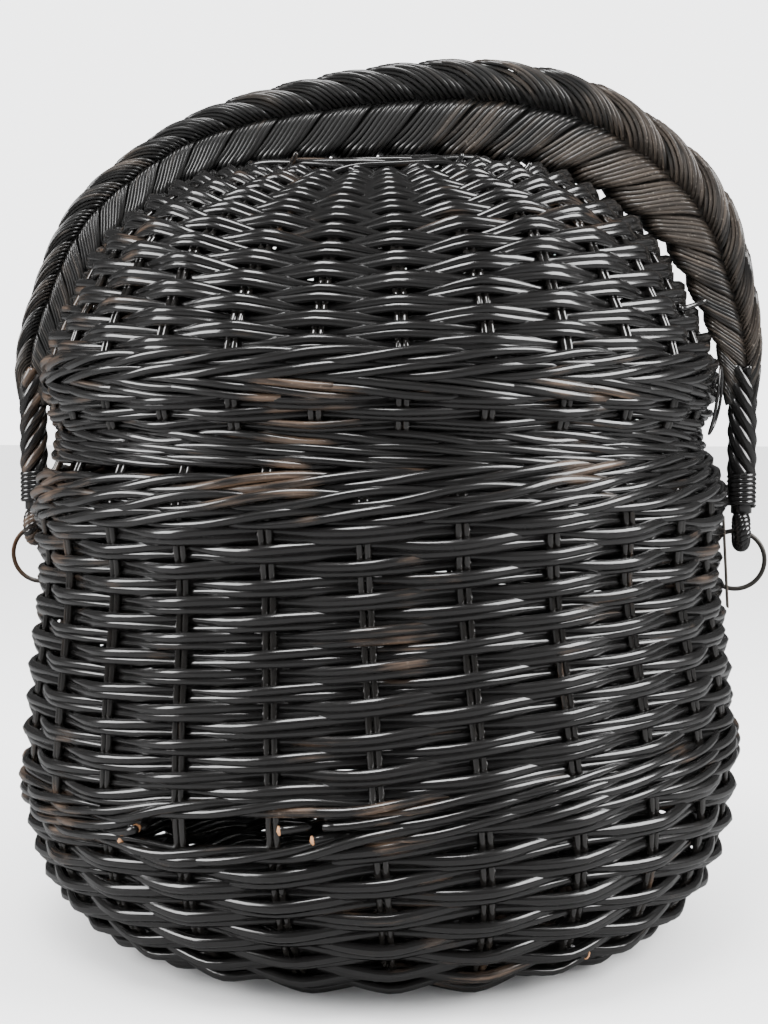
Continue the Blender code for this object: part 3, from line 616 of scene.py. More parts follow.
def grain_group() -> bpy.types.NodeTree:
    """Make, once, the group that gives lacquered willow its colour, roughness and grain.

    Fine streaks run along a rod, patches of the lacquer are worn to brown, more so on some rods and
    at the left, and a worn place is duller than a whole one.

    Returns:
        The group.
    """
    name = "willow_grain"
    if name in bpy.data.node_groups:
        return bpy.data.node_groups[name]
    grain = Grain()
    group = bpy.data.node_groups.new(name, "ShaderNodeTree")
    number, tint = "NodeSocketFloat", "NodeSocketColor"
    inputs = (("Dark", tint), ("Brown", tint), ("Wear", number), ("Shine", number), ("Dull", number))
    outputs = (("Color", tint), ("Roughness", number), ("Height", number))
    for way, sockets in (("INPUT", inputs), ("OUTPUT", outputs)):
        for label, kind in sockets:
            group.interface.new_socket(name=label, in_out=way, socket_type=kind)
    graph = Graph(group)
    given = graph.node("NodeGroupInput").outputs
    result = graph.node("NodeGroupOutput").inputs
    place = graph.node("ShaderNodeAttribute", attribute_name="rod_place").outputs["Vector"]
    tone = graph.node("ShaderNodeAttribute", attribute_name="tone").outputs["Fac"]
    where = graph.node("ShaderNodeTexCoord").outputs["Object"]
    along = graph.node("ShaderNodeMapping", {"Vector": place, "Scale": grain.fibre_scale}).outputs[0]
    fibre = graph.noise(along, 1.0, 3.0)
    about = graph.node("ShaderNodeMapping", {"Vector": place, "Scale": grain.blotch_scale}).outputs[0]
    blotch = graph.noise(about, 1.0, 2.0)
    patch = graph.noise(where, grain.patch_scale, 3.0)
    speck = graph.noise(where, grain.speck_scale, 2.0)
    amount = graph.math("ADD", patch, graph.about_half(tone, grain.tone_share))
    amount = graph.math("ADD", amount, graph.about_half(blotch, grain.blotch_share))
    amount = graph.math("ADD", amount, graph.about_half(fibre, grain.fibre_share))
    amount = graph.math("ADD", amount, graph.math("SUBTRACT", given["Wear"], 0.5))
    x = graph.node("ShaderNodeSeparateXYZ", {0: where}).outputs["X"]
    amount = graph.math("ADD", amount, graph.ramp(x, *grain.left_span, grain.left_share, 0.0))
    worn = graph.ramp(amount, *grain.worn_span)
    brown = graph.node("ShaderNodeVectorMath", {0: given["Brown"]}, operation="SCALE")
    group.links.new(graph.ramp(fibre, *grain.streak_span), brown.inputs["Scale"])
    colour = graph.mix(worn, given["Dark"], brown.outputs[0])
    dusted = graph.math("MULTIPLY", graph.ramp(speck, *grain.dust_span), worn)
    colour = graph.mix(dusted, colour, grain.dust)
    duller = graph.math("MULTIPLY", worn, graph.math("SUBTRACT", given["Dull"], given["Shine"]))
    rough = graph.math("ADD", given["Shine"], duller)
    rough = graph.math("ADD", rough, graph.about_half(fibre, grain.rough_share))
    height = graph.math("ADD", fibre, graph.math("MULTIPLY", blotch, grain.blotch_height))
    group.links.new(colour, result["Color"])
    group.links.new(rough, result["Roughness"])
    group.links.new(height, result["Height"])
    return group


def dress(piece: bpy.types.Object, finish: bpy.types.Material, body: str, slot: str, *nodes: str) -> None:
    """Give a piece its finish and its body, and hide the solids it stands for.

    Args:
        piece: The new piece.
        finish: Its material.
        body: Body that it moves with.
        slot: Not used.
        nodes: Solids that it replaces.
    """
    piece.data.materials.append(finish)
    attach(piece, body)
    if nodes:
        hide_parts(*nodes)


@dataclass
class Finishes:
    """Every finish of the basket, made once."""

    lacquer: bpy.types.Material
    worn: bpy.types.Material
    stake: bpy.types.Material
    plait: bpy.types.Material
    pith: bpy.types.Material
    iron: bpy.types.Material
    strap: bpy.types.Material

    @staticmethod
    def make() -> "Finishes":
        """Build all the materials."""
        return Finishes(
            lacquer=Finish("black_lacquer").make(),
            worn=Finish("worn_lacquer", wear=0.40).make(),
            stake=Finish("stake_lacquer", dark=(0.006, 0.0055, 0.005), wear=0.36, shine=0.13,
                         coat=0.8).make(),
            plait=Finish("plait_lacquer", dark=(0.008, 0.0078, 0.0075), brown=(0.026, 0.019, 0.0135),
                         wear=0.35, shine=0.36, dull=0.66, coat=0.3, faded_right=0.33).make(),
            pith=Finish("cut_willow", dark=(0.26, 0.13, 0.06), brown=(0.40, 0.22, 0.11), wear=0.5, shine=0.6,
                        dull=0.8, coat=0.0).make(),
            iron=Finish("dark_iron", dark=(0.05, 0.046, 0.042), brown=(0.10, 0.05, 0.025), wear=0.40,
                        shine=0.38, dull=0.75, coat=0.0, metallic=0.85).make(),
            strap=Finish("brown_strap", dark=(0.055, 0.045, 0.036), brown=(0.13, 0.10, 0.075), wear=0.5,
                         shine=0.5, dull=0.7, coat=0.1, metallic=0.3).make(),
        )


@dataclass
class Body:
    """The basket's bowl: base, stakes, siding, wales and rim."""

    finishes: Finishes
    weave_depth: float = 4.3 * MM
    reach: float = 2.85 * MM
    rod: float = 1.82 * MM
    slant: float = 0.8 * MM
    lower_bottom: float = 7.5 * MM
    lower_rows: int = 12
    lower_rod: float = 2.002 * MM
    upper_rows: int = 16
    mid_wale: float = 76.3 * MM
    mid_wale_height: float = 13.5 * MM
    mid_wale_pitch: float = 4.5 * MM
    break_spread: float = 4.0 * MM
    top_wale_bottom: float = 177.3 * MM
    stake_rod: float = 1.4 * MM
    stake_gap: float = 1.45 * MM
    swing: float = 0.25
    base_height: float = 6.9 * MM
    centre_radius: float = 16.0 * MM
    rim_rows: tuple[float, float] = (201.2 * MM, 205.4 * MM)
    break_start: float = math.radians(-119.0)
    break_end: float = math.radians(-91.0)
    # Azimuth in degrees, height, and which way the end points: 1 to the right, and more for downward
    broken_ends: tuple[tuple[float, float, float], ...] = (
        (-122.5, 62.0 * MM, 1.0), (-119.5, 67.8 * MM, 1.0), (-92.5, 70.2 * MM, -1.0),
        (-97.0, 73.0 * MM, -1.0), (-47.5, 17.0 * MM, 3.0))
    # Coefficients in mm of how the rows lie over their level: 1, cos a, sin a, cos 2a, sin 2a
    lean_waves: tuple[float, ...] = (-1.45, 7.14, 0.91, -0.53, -4.91)
    still_foot: float = 8 * MM
    break_reach: float = 14 * MM
    break_blur: float = math.radians(2.2)
    # The same for the top wale: 1, cos a, and its climb to the right front
    top_waves: tuple[float, float, float] = (1.0, 1.6, 4.5)
    climb_azimuth: float = math.radians(-28.0)
    # Height of the twist and radius of a weaver, in each wale
    mid_twist: tuple[float, float] = (3.6 * MM, 1.75 * MM)
    mid_out: float = 1.5 * MM
    top_twist: tuple[float, float] = (4.8 * MM, 1.95 * MM)
    top_pitch: float = 5.9 * MM
    rim_twist: tuple[float, float] = (2.6 * MM, 1.5 * MM)
    rim_in: float = 0.6 * MM
    foot_twist: tuple[float, float] = (3.4 * MM, 1.55 * MM)
    foot_height: float = 2.1 * MM
    foot_span: tuple[float, float] = (88 * MM, 104 * MM)
    foot_shares: tuple[float, float] = (0.32, 0.62)
    foot_out: float = 0.5 * MM
    stake_top: float = 206.0 * MM
    stake_wobble: float = 0.25 * MM
    base_flat: float = 100 * MM
    base_start: float = 0.02
    base_edge: float = 124 * MM
    base_rows: int = 25
    base_reach: float = 1.9 * MM
    base_rod: float = 1.45 * MM
    cross_rods: int = 7
    cross_pitch: float = 3.1 * MM
    cross_half: float = 18 * MM
    cross_layer: float = 1.1 * MM
    cross_rod: float = 1.3 * MM
    broken_out: float = 2.6 * MM
    broken_splay: float = 0.35
    broken_droop: float = 0.12
    broken_length: float = 11 * MM
    broken_rod: float = 1.75 * MM
    cut_rod: float = 1.8 * MM
    cut_span: tuple[float, float] = (-0.2 * MM, 0.5 * MM)
    former: Former = field(init=False)
    craft: WeaveCraft = field(init=False)

    def __post_init__(self) -> None:
        """Lay out the surface that the wall and base are woven on."""
        points = np.array([(share * BELLY_RADIUS, level * WALL_HEIGHT) for level, share in WALL_SHARES])
        wall = smooth_curve(points, 240)
        former = Former.turned(wall, self.weave_depth)
        moved = former.table[0, :, :2]
        base = np.array([(r, self.base_height) for r in np.linspace(self.centre_radius, self.base_flat, 30)])
        line = smooth_curve(np.concatenate([base, moved[6:]]), 400)
        self.former = Former.turned(line, 0.0)
        self.craft = WeaveCraft(self.former, BODY_STAKES, self.swing)

    def tilt(self, azimuth: Array, height: Array | float) -> Array:
        """How far a row lies above its level: low at the left front, and drawn apart at the break."""
        even, cos1, sin1, cos2, sin2 = self.lean_waves
        lean = (even + cos1 * np.cos(azimuth) + sin1 * np.sin(azimuth) + cos2 * np.cos(2 * azimuth)
                + sin2 * np.sin(2 * azimuth)) * MM
        below = np.clip((height - self.still_foot) / (self.mid_wale - self.still_foot), 0.0, 1.0)
        above = np.clip((self.top_wale_bottom - height) / (self.top_wale_bottom - self.mid_wale), 0.0, 1.0)
        off_wale = np.maximum(np.abs(height - self.mid_wale) - self.mid_wale_pitch, 0.0)
        near = np.exp(-off_wale / self.break_reach)
        side = np.where(height < self.mid_wale, -1.0, 1.0)
        apart = self.break_spread * near * self.break_share(azimuth) * side
        return lean * np.minimum(below, above) + self.top_tilt(azimuth) * (1.0 - above) + apart

    def break_share(self, azimuth: Array) -> Array:
        """How near an azimuth is to the break in the middle wale: 1 in it, and 0 away from it."""
        middle, half = 0.5 * (self.break_start + self.break_end), 0.5 * (self.break_end - self.break_start)
        away = np.abs(np.mod(azimuth - middle + math.pi, TAU) - math.pi) - half
        return 1.0 / (1.0 + np.exp(away / self.break_blur))

    def top_tilt(self, azimuth: Array) -> Array:
        """How far the top wale lies above its level: it climbs to the right front."""
        climb = (0.5 + 0.5 * np.cos(azimuth - self.climb_azimuth)) ** 4
        even, side, peak = self.top_waves
        return (even + side * np.cos(azimuth) + peak * climb) * MM

    def rows(self, bottom: float, top: float, count: int, points: int = 7) -> Array:
        """Shares of the way up of tilted rows between two heights, (rows, steps)."""
        azimuth = np.linspace(BACK, BACK + TAU, points * BODY_STAKES + 1)[None]
        low, high = self.former.share_at(bottom), self.former.share_at(top)
        share = np.linspace(low, high, 2 * count + 1)[1::2][:, None]
        height = self.former.height_at(share)
        return self.former.share_at(height + self.tilt(azimuth, height))

    def build(self) -> None:
        """Build and dress every piece of the bowl."""
        rng = np.random.default_rng(11)
        self.build_siding(rng)
        self.build_broken_ends()
        self.build_wales(rng)
        self.build_stakes(rng)
        self.build_base(rng)

    def build_siding(self, rng: np.random.Generator) -> None:
        """Weave the siding below and above the middle wale."""
        half = self.mid_wale_height / 2
        low = StrandMesh("siding_low")
        rows = self.rows(self.lower_bottom, self.mid_wale - half, self.lower_rows)
        self.craft.slewed(low, rows, self.reach, self.lower_rod, rng, slant=self.slant)
        dress(low.build(), self.finishes.lacquer, "basket", "body_weave", "lower_siding")
        high = StrandMesh("siding_high")
        rows = self.rows(self.mid_wale + half, self.top_wale_bottom, self.upper_rows)
        self.craft.slewed(high, rows, self.reach, self.rod, rng, slant=self.slant)
        dress(high.build(), self.finishes.lacquer, "basket", "body_weave", "upper_siding")

    def build_broken_ends(self) -> None:
        """Leave the cut ends of rods that show beside the break, and the pale end of a stake at the foot."""
        bark, cut = StrandMesh("broken_rods"), StrandMesh("broken_ends")
        for azimuth, height, lean in self.broken_ends:
            angle = math.radians(azimuth)
            place, normal = self.former.at(np.array(angle), self.former.share_at(height), self.broken_out)
            along = np.array([-math.sin(angle), math.cos(angle), 0.0]) * math.copysign(1.0, lean)
            droop = np.array([0.0, 0.0, self.broken_droop * abs(lean)])
            along = unit(along + self.broken_splay * normal - droop)
            run = np.linspace(-self.broken_length, 0.0, 6)[:, None]
            up = np.broadcast_to(normal, (1, 6, 3))
            bark.add((place + run * along)[None], up, self.broken_rod, 0.5, 8)
            tip = np.linspace(*self.cut_span, 3)[:, None]
            cut.add((place + tip * along)[None], up[:, :3], self.cut_rod, 0.5, 8)
        dress(bark.build(), self.finishes.worn, "basket", "body_weave")
        dress(cut.build(), self.finishes.pith, "basket", "body_weave")

    def build_wales(self, rng: np.random.Generator) -> None:
        """Twist the middle wale, the top wale, the rim and the foot."""
        around = np.linspace(BACK, BACK + TAU, 8 * BODY_STAKES + 1)
        middle = StrandMesh("wale_middle")
        whole = (BACK, BACK + TAU)
        broken = (self.break_end, self.break_start + TAU)
        for level, span in ((-1, whole), (0, broken), (1, whole)):
            azimuth = np.linspace(span[0], span[1], len(around))
            height = self.mid_wale + level * self.mid_wale_pitch
            share = self.former.share_at(height + self.tilt(azimuth, height))
            self.craft.wale(middle, share, self.reach + self.mid_out, *self.mid_twist, Lean.UP_TO_RIGHT, rng,
                            span=span)
        dress(middle.build(), self.finishes.worn, "basket", "body_weave", "mid_wale")
        top = StrandMesh("wale_top")
        for row in range(3):
            height = self.top_wale_bottom + (row + 0.5) * self.top_pitch + self.top_tilt(around)
            share = self.former.share_at(height)
            self.craft.wale(top, share, self.reach, *self.top_twist, Lean.UP_TO_RIGHT, rng)
        dress(top.build(), self.finishes.worn, "basket", "body_weave", "top_wale")
        rim = StrandMesh("wale_rim")
        for height in self.rim_rows:
            self.craft.wale(rim, self.former.share_at(height), self.reach - self.rim_in, *self.rim_twist,
                            Lean.DOWN_TO_RIGHT, rng)
        dress(rim.build(), self.finishes.lacquer, "basket", "body_weave", "rim_wale")
        foot = StrandMesh("wale_foot")
        line = np.array([(radius, self.foot_height) for radius in np.linspace(*self.foot_span, 30)])
        flat = Former.turned(line, 0.0)
        ring = WeaveCraft(flat, BODY_STAKES)
        for share in self.foot_shares:
            ring.wale(foot, share, self.foot_out, *self.foot_twist, Lean.UP_TO_RIGHT, rng)
        dress(foot.build(), self.finishes.worn, "basket", "worn_weave", "foot_wale")

    def build_stakes(self, rng: np.random.Generator) -> None:
        """Run a pair of rods up the wall at each stake, from the base's crossing to the rim."""
        mesh = StrandMesh("stakes_body")
        share = np.linspace(0.0, self.former.share_at(self.stake_top), 90)[None]
        start = self.craft.stake_azimuths()[:, None]
        azimuth = start + self.craft.swing_at(start, share)
        radius = self.former.at(np.zeros(90), share[0], 0.0)[0][:, 0]
        for side in (-1, 1):
            shift = side * self.stake_gap / np.maximum(radius, 8 * MM)[None]
            wobble = self.stake_wobble * np.array(
                [ripple(share[0] * 6.0, rng, 3, 5) for _ in range(BODY_STAKES)])
            point, normal = self.former.at(azimuth + shift, np.broadcast_to(share, azimuth.shape), wobble)
            mesh.add(point, normal, self.stake_rod, rng.uniform(0, 1, BODY_STAKES), 6)
        dress(mesh.build(), self.finishes.stake, "basket", "stakes", "body_stakes")

    def build_base(self, rng: np.random.Generator) -> None:
        """Weave the base round the crossing of its stakes."""
        mesh = StrandMesh("weave_base")
        edge = self.former.share_of_radius(self.base_edge)
        shares = np.linspace(self.base_start, edge, self.base_rows)[:, None]
        self.craft.slewed(mesh, shares, self.base_reach, self.base_rod, rng, points=5)
        dress(mesh.build(), self.finishes.worn, "basket", "worn_weave", "base_weave")
        cross = StrandMesh("cross_base")
        spacing = (np.arange(self.cross_rods) - (self.cross_rods - 1) / 2) * self.cross_pitch
        run = np.linspace(-self.cross_half, self.cross_half, 12)
        for axis, layer in ((0, self.cross_layer), (1, -self.cross_layer)):
            path = np.zeros((self.cross_rods, 12, 3))
            path[:, :, axis] = run
            path[:, :, 1 - axis] = spacing[:, None]
            path[:, :, 2] = self.base_height + layer
            up = np.zeros_like(path)
            up[:, :, 2] = 1.0
            cross.add(path, up, self.cross_rod, rng.uniform(0, 1, self.cross_rods), 6)
        dress(cross.build(), self.finishes.stake, "basket", "stakes", "base_binding")


@dataclass
class Lid:
    """The loose domed lid: border, wale, crown, its stakes and their crossing at the top."""

    finishes: Finishes
    weave_depth: float = 4.3 * MM
    reach: float = 2.8 * MM
    rod: float = 1.84 * MM
    stake_rod: float = 1.35 * MM
    stake_gap: float = 1.35 * MM
    border_wales: tuple[float, ...] = (209.9 * MM, 226.4 * MM, 229.6 * MM)
    border_rows: tuple[float, ...] = (214.6 * MM, 218.6 * MM, 222.6 * MM)
    border_twist: tuple[float, float] = (3.8 * MM, 1.75 * MM)
    border_rod: float = 1.45 * MM
    border_in: float = 0.4 * MM
    wale_bottom: float = 233.6 * MM
    wale_pitch: float = 5.0 * MM
    wale_twist: tuple[float, float] = (4.6 * MM, 1.9 * MM)
    wale_out: float = 0.4 * MM
    crown_rows: int = 22
    top_edge: float = 52 * MM
    top_rows: int = 10
    top_start: float = 0.012
    top_reach: float = 3.3 * MM
    top_twist: tuple[float, float] = (2.8 * MM, 1.5 * MM)
    cross_spread: float = 17 * MM
    cross_gap: float = 0.8 * MM
    cross_layer: float = 1.2 * MM
    weave_bottom: float = 241.2 * MM
    round_over: float = 1.0 * MM
    # How far the dome's side is drawn on past its end, and how long the rays are that look for its cut
    ray_on: float = 90 * MM
    ray_reach: float = 220 * MM
    centre_radius: float = 18.0 * MM
    # Azimuth in degrees, distance from the axis, and length of each rod end that stands off the crown
    strays: tuple[tuple[float, float, float], ...] = (
        (-58.0, 62 * MM, 9 * MM), (-40.0, 80 * MM, 7 * MM), (-20.0, 132 * MM, 11 * MM),
        (-128.0, 58 * MM, 8 * MM))
    stray_rod: float = 1.35 * MM
    # Azimuths in degrees and distance from the axis of the long rods that lie over the top
    floats: tuple[tuple[float, float, float], ...] = (
        (-150.0, -92.0, 56 * MM), (-140.0, -76.0, 48 * MM), (-128.0, -70.0, 50 * MM),
        (-118.0, -56.0, 44 * MM), (-104.0, -50.0, 57 * MM), (-96.0, -42.0, 40 * MM),
        (-82.0, -30.0, 52 * MM), (60.0, 120.0, 54 * MM), (160.0, 215.0, 55 * MM))
    float_rod: float = 1.3 * MM
    float_rise: float = 0.1 * MM
    float_end_drop: float = 3.0 * MM
    loop_azimuth: float = -13.0
    loop_height: float = 225.0 * MM
    loop_out: float = 6.6 * MM
    loop_half: tuple[float, float] = (6.0 * MM, 12.0 * MM)
    loop_strands: int = 4
    loop_strand: float = 0.55 * MM
    loop_waver: float = 0.4 * MM
    side_former: Former = field(init=False)
    crown: Former = field(init=False)

    def __post_init__(self) -> None:
        """Lay out the surfaces that the lid is woven on."""
        outline = lid_outline()
        self.side_former = Former.turned(outline[:120], self.weave_depth)
        self.crown = self.crown_former(outline)

    def crown_former(self, outline: Array) -> Former:
        """Work out the crown: the turned dome, cut to the path that the handle swings through.

        On each ray from the lid's foot, the reach is a soft least of two: where the ray leaves the
        dome, and where its distance from the handle's axis passes the outline's height there.

        Args:
            outline: Smooth outline of the lid.

        Returns:
            The surface from the crown's foot to its apex.
        """
        azimuth = np.arange(180) * TAU / 180
        rise = np.linspace(0.02, math.pi / 2, 160)
        level = (outline[:, 1] - LID_FOOT) / LID_HEIGHT
        leaving = int(np.argmax(level >= DOME_END_SHARE))
        step = outline[leaving] - outline[leaving - 1]
        beyond = outline[leaving] + step / np.linalg.norm(step) * self.ray_on
        dome = np.concatenate([outline[:leaving + 1], beyond[None]])
        dome_line = smooth_curve(dome, 900)
        dome_angle = np.arctan2(dome_line[:, 1] - LID_FOOT, dome_line[:, 0])
        dome_length = np.hypot(dome_line[:, 0], dome_line[:, 1] - LID_FOOT)
        dome_reach = np.interp(rise, dome_angle, dome_length, right=0.3)
        trim = outline[level >= TRIM_END_SHARE][::-1]
        reach = np.linspace(0.0, self.ray_reach, 320)
        radial = reach * np.cos(rise)[:, None]
        x = radial[None] * np.cos(azimuth)[:, None, None]
        y = radial[None] * np.sin(azimuth)[:, None, None]
        z = LID_FOOT + (reach * np.sin(rise)[:, None])[None]
        trim_height = np.interp(np.abs(x), trim[:, 0], trim[:, 1])
        beyond_path = np.hypot(y, z - PIVOT_HEIGHT) - (trim_height - PIVOT_HEIGHT)
        first = np.argmax(beyond_path > 0, axis=2)
        after = np.take_along_axis(beyond_path, first[..., None], 2)[..., 0]
        before = np.take_along_axis(beyond_path, first[..., None] - 1, 2)[..., 0]
        trim_reach = reach[first] - (reach[1] - reach[0]) * after / (after - before)
        soft = self.round_over
        least = -soft * np.log(np.exp(-dome_reach[None] / soft) + np.exp(-trim_reach / soft))
        radius, height = least * np.cos(rise), LID_FOOT + least * np.sin(rise)
        table, lengths = [], []
        for column in range(len(azimuth)):
            hops = np.hypot(np.diff(radius[column]), np.diff(height[column]))
            run = np.concatenate([[0.0], np.cumsum(hops)])
            start = np.interp(self.weave_bottom, height[column], run)
            even = np.linspace(start, run[-1], 120)
            table.append(np.stack([np.interp(even, run, line[column]) for line in (radius, height)], 1))
            lengths.append(run[-1] - start)
        table = np.array(table)
        spot = np.stack([table[..., 0] * np.cos(azimuth)[:, None], table[..., 0] * np.sin(azimuth)[:, None],
                         table[..., 1]], axis=-1)
        upward = np.gradient(spot, axis=1)
        onward = np.roll(spot, -1, axis=0) - np.roll(spot, 1, axis=0)
        normal = np.cross(onward, upward)
        normal[:, -3:] = (0.0, 0.0, 1.0)
        normal = unit(normal)
        cos, sin = np.cos(azimuth)[:, None], np.sin(azimuth)[:, None]
        radial_part = normal[..., 0] * cos + normal[..., 1] * sin
        tangent_part = normal[..., 1] * cos - normal[..., 0] * sin
        moved = table - self.weave_depth * np.stack([radial_part, normal[..., 2]], axis=-1)
        moved[..., 0] = np.maximum(moved[..., 0], 0.0)
        parts = np.stack([radial_part, tangent_part, normal[..., 2]], axis=-1)
        return Former(np.concatenate([moved, parts], axis=-1), np.array(lengths))

    def share_of_radius(self, radius: float) -> float:
        """Share of the way up the crown at a distance from its axis, along X."""
        line = self.crown.table[0, ::-1, 0]
        return float(np.interp(radius, line, np.linspace(1.0, 0.0, len(line))))

    def build(self) -> None:
        """Build and dress every piece of the lid."""
        rng = np.random.default_rng(23)
        self.build_border(rng)
        self.build_crown(rng)
        self.build_stakes(rng)
        self.build_strays(rng)

    def build_border(self, rng: np.random.Generator) -> None:
        """Twist the lower border and, leaning the other way, the wale above it."""
        craft = WeaveCraft(self.side_former, LID_STAKES)
        border = StrandMesh("border_lid")
        for height in self.border_wales:
            share = self.side_former.share_at(height)
            craft.wale(border, share, self.reach, *self.border_twist, Lean.DOWN_TO_RIGHT, rng)
        shares = self.side_former.share_at(np.array(self.border_rows))[:, None]
        craft.slewed(border, shares, self.reach - self.border_in, self.border_rod, rng)
        dress(border.build(), self.finishes.worn, "lid", "worn_weave", "lid_border")
        wale = StrandMesh("wale_lid")
        for row in range(2):
            share = self.side_former.share_at(self.wale_bottom + row * self.wale_pitch)
            craft.wale(wale, share, self.reach + self.wale_out, *self.wale_twist, Lean.UP_TO_RIGHT, rng)
        dress(wale.build(), self.finishes.lacquer, "lid", "body_weave", "lid_wale")

    def build_crown(self, rng: np.random.Generator) -> None:
        """Weave the crown in slewed rows, and its top in fine pairing that makes chevrons."""
        craft = WeaveCraft(self.crown, LID_STAKES)
        mesh = StrandMesh("weave_crown")
        split = self.share_of_radius(self.top_edge)
        shares = (np.arange(self.crown_rows) + 0.5)[:, None] / self.crown_rows * split
        craft.slewed(mesh, shares, self.reach, self.rod, rng, sides=6)
        dress(mesh.build(), self.finishes.lacquer, "lid", "body_weave", "lid_weave")
        top = StrandMesh("weave_top")
        inner = self.share_of_radius(self.centre_radius)
        levels = np.linspace(split + self.top_start, inner, self.top_rows)
        for row, share in enumerate(levels):
            lean = Lean.UP_TO_RIGHT if row % 2 else Lean.DOWN_TO_RIGHT
            craft.wale(top, share, self.top_reach, *self.top_twist, lean, rng, strands=2, outward=0.0,
                       sides=5, points=6)
        dress(top.build(), self.finishes.worn, "lid", "worn_weave", "lid_binding")

    def build_stakes(self, rng: np.random.Generator) -> None:
        """Run a pair of rods down the lid at each stake, from the crossing at its top to its foot."""
        mesh = StrandMesh("stakes_lid")
        craft = WeaveCraft(self.crown, LID_STAKES)
        azimuth = craft.stake_azimuths()[:, None]
        top = self.share_of_radius(self.centre_radius)
        side_share = np.linspace(0.03, self.side_former.share_at(self.weave_bottom), 14, endpoint=False)
        crown_share = np.linspace(0.0, top, 60)
        quarter = np.round(azimuth[:, 0] / (TAU / 4)).astype(int) % 4
        for side in (-1, 1):
            low_radius = self.side_former.at(np.zeros(14), side_share, 0.0)[0][:, 0]
            high_radius = self.crown.at(np.zeros(60), crown_share, 0.0)[0][:, 0]
            shift = side * self.stake_gap
            low, low_n = self.side_former.at(azimuth + shift / low_radius, side_share[None], 0.0)
            high, high_n = self.crown.at(azimuth + shift / np.maximum(high_radius, 20 * MM),
                                         crown_share[None], 0.0)
            inner_r = np.linspace(self.centre_radius - 2 * MM, 0.0, 9)
            along = quarter * TAU / 4
            lead = np.stack([np.cos(along), np.sin(along)], axis=1)
            across = np.stack([-np.sin(along), np.cos(along)], axis=1)
            off = np.sin(azimuth[:, 0] - along) * self.cross_spread + side * self.cross_gap
            flat = inner_r[None, :, None] * lead[:, None] + off[:, None, None] * across[:, None]
            layer = np.where(quarter % 2 == 0, self.cross_layer, -self.cross_layer)
            height = (high[:, -1, 2] + layer)[:, None]
            inner = np.concatenate([flat, np.broadcast_to(height[..., None], (*flat.shape[:2], 1))], axis=-1)
            up = np.zeros_like(inner)
            up[..., 2] = 1.0
            mesh.add(np.concatenate([low, high, inner], axis=1), np.concatenate([low_n, high_n, up], axis=1),
                     self.stake_rod, rng.uniform(0, 1, LID_STAKES), 6)
        dress(mesh.build(), self.finishes.stake, "lid", "stakes", "lid_stakes")

    def build_strays(self, rng: np.random.Generator) -> None:
        """Add the rod ends that stand off the crown, and the loop of fine strands at the border's right."""
        mesh = StrandMesh("stray_ends")
        for azimuth, radius, length in self.strays:
            angle = math.radians(azimuth)
            start, normal = self.crown.at(np.array(angle), self.share_of_radius(radius), 1.5 * MM)
            along = np.array([-math.sin(angle), math.cos(angle), 0.0])
            run = np.linspace(0.0, 1.0, 12)[:, None]
            path = start + length * (run * along + (run ** 2) * 0.75 * normal)
            radii = self.stray_rod * (1 - 0.25 * run[:, 0])
            mesh.add(path[None], np.broadcast_to(normal, (1, 12, 3)), radii, 0.6, 7)
        for first, last, radius in self.floats:
            angle = np.radians(np.linspace(first, last, 40))
            run = np.linspace(-1.0, 1.0, 40)
            share = self.share_of_radius(radius) - 0.035 * run ** 2
            path, normal = self.crown.at(
                angle, share, self.weave_depth + self.float_rise - self.float_end_drop * run ** 6)
            mesh.add(path[None], normal[None], self.float_rod, rng.uniform(0, 1), 7)
        around = np.linspace(0.0, TAU, 48, endpoint=False)
        for strand in range(self.loop_strands):
            size = 1.0 - 0.09 * strand
            angle = math.radians(self.loop_azimuth) + self.loop_half[0] * size * np.cos(around) / LID_RADIUS
            height = self.loop_height + self.loop_half[1] * size * np.sin(around)
            height = height + self.loop_waver * rng.standard_normal()
            place, normal = self.side_former.at(angle, self.side_former.share_at(height), self.loop_out)
            mesh.add(place[None], normal[None], self.loop_strand, rng.uniform(0, 1), 6, closed=True)
        dress(mesh.build(), self.finishes.worn, "lid", "body_weave")


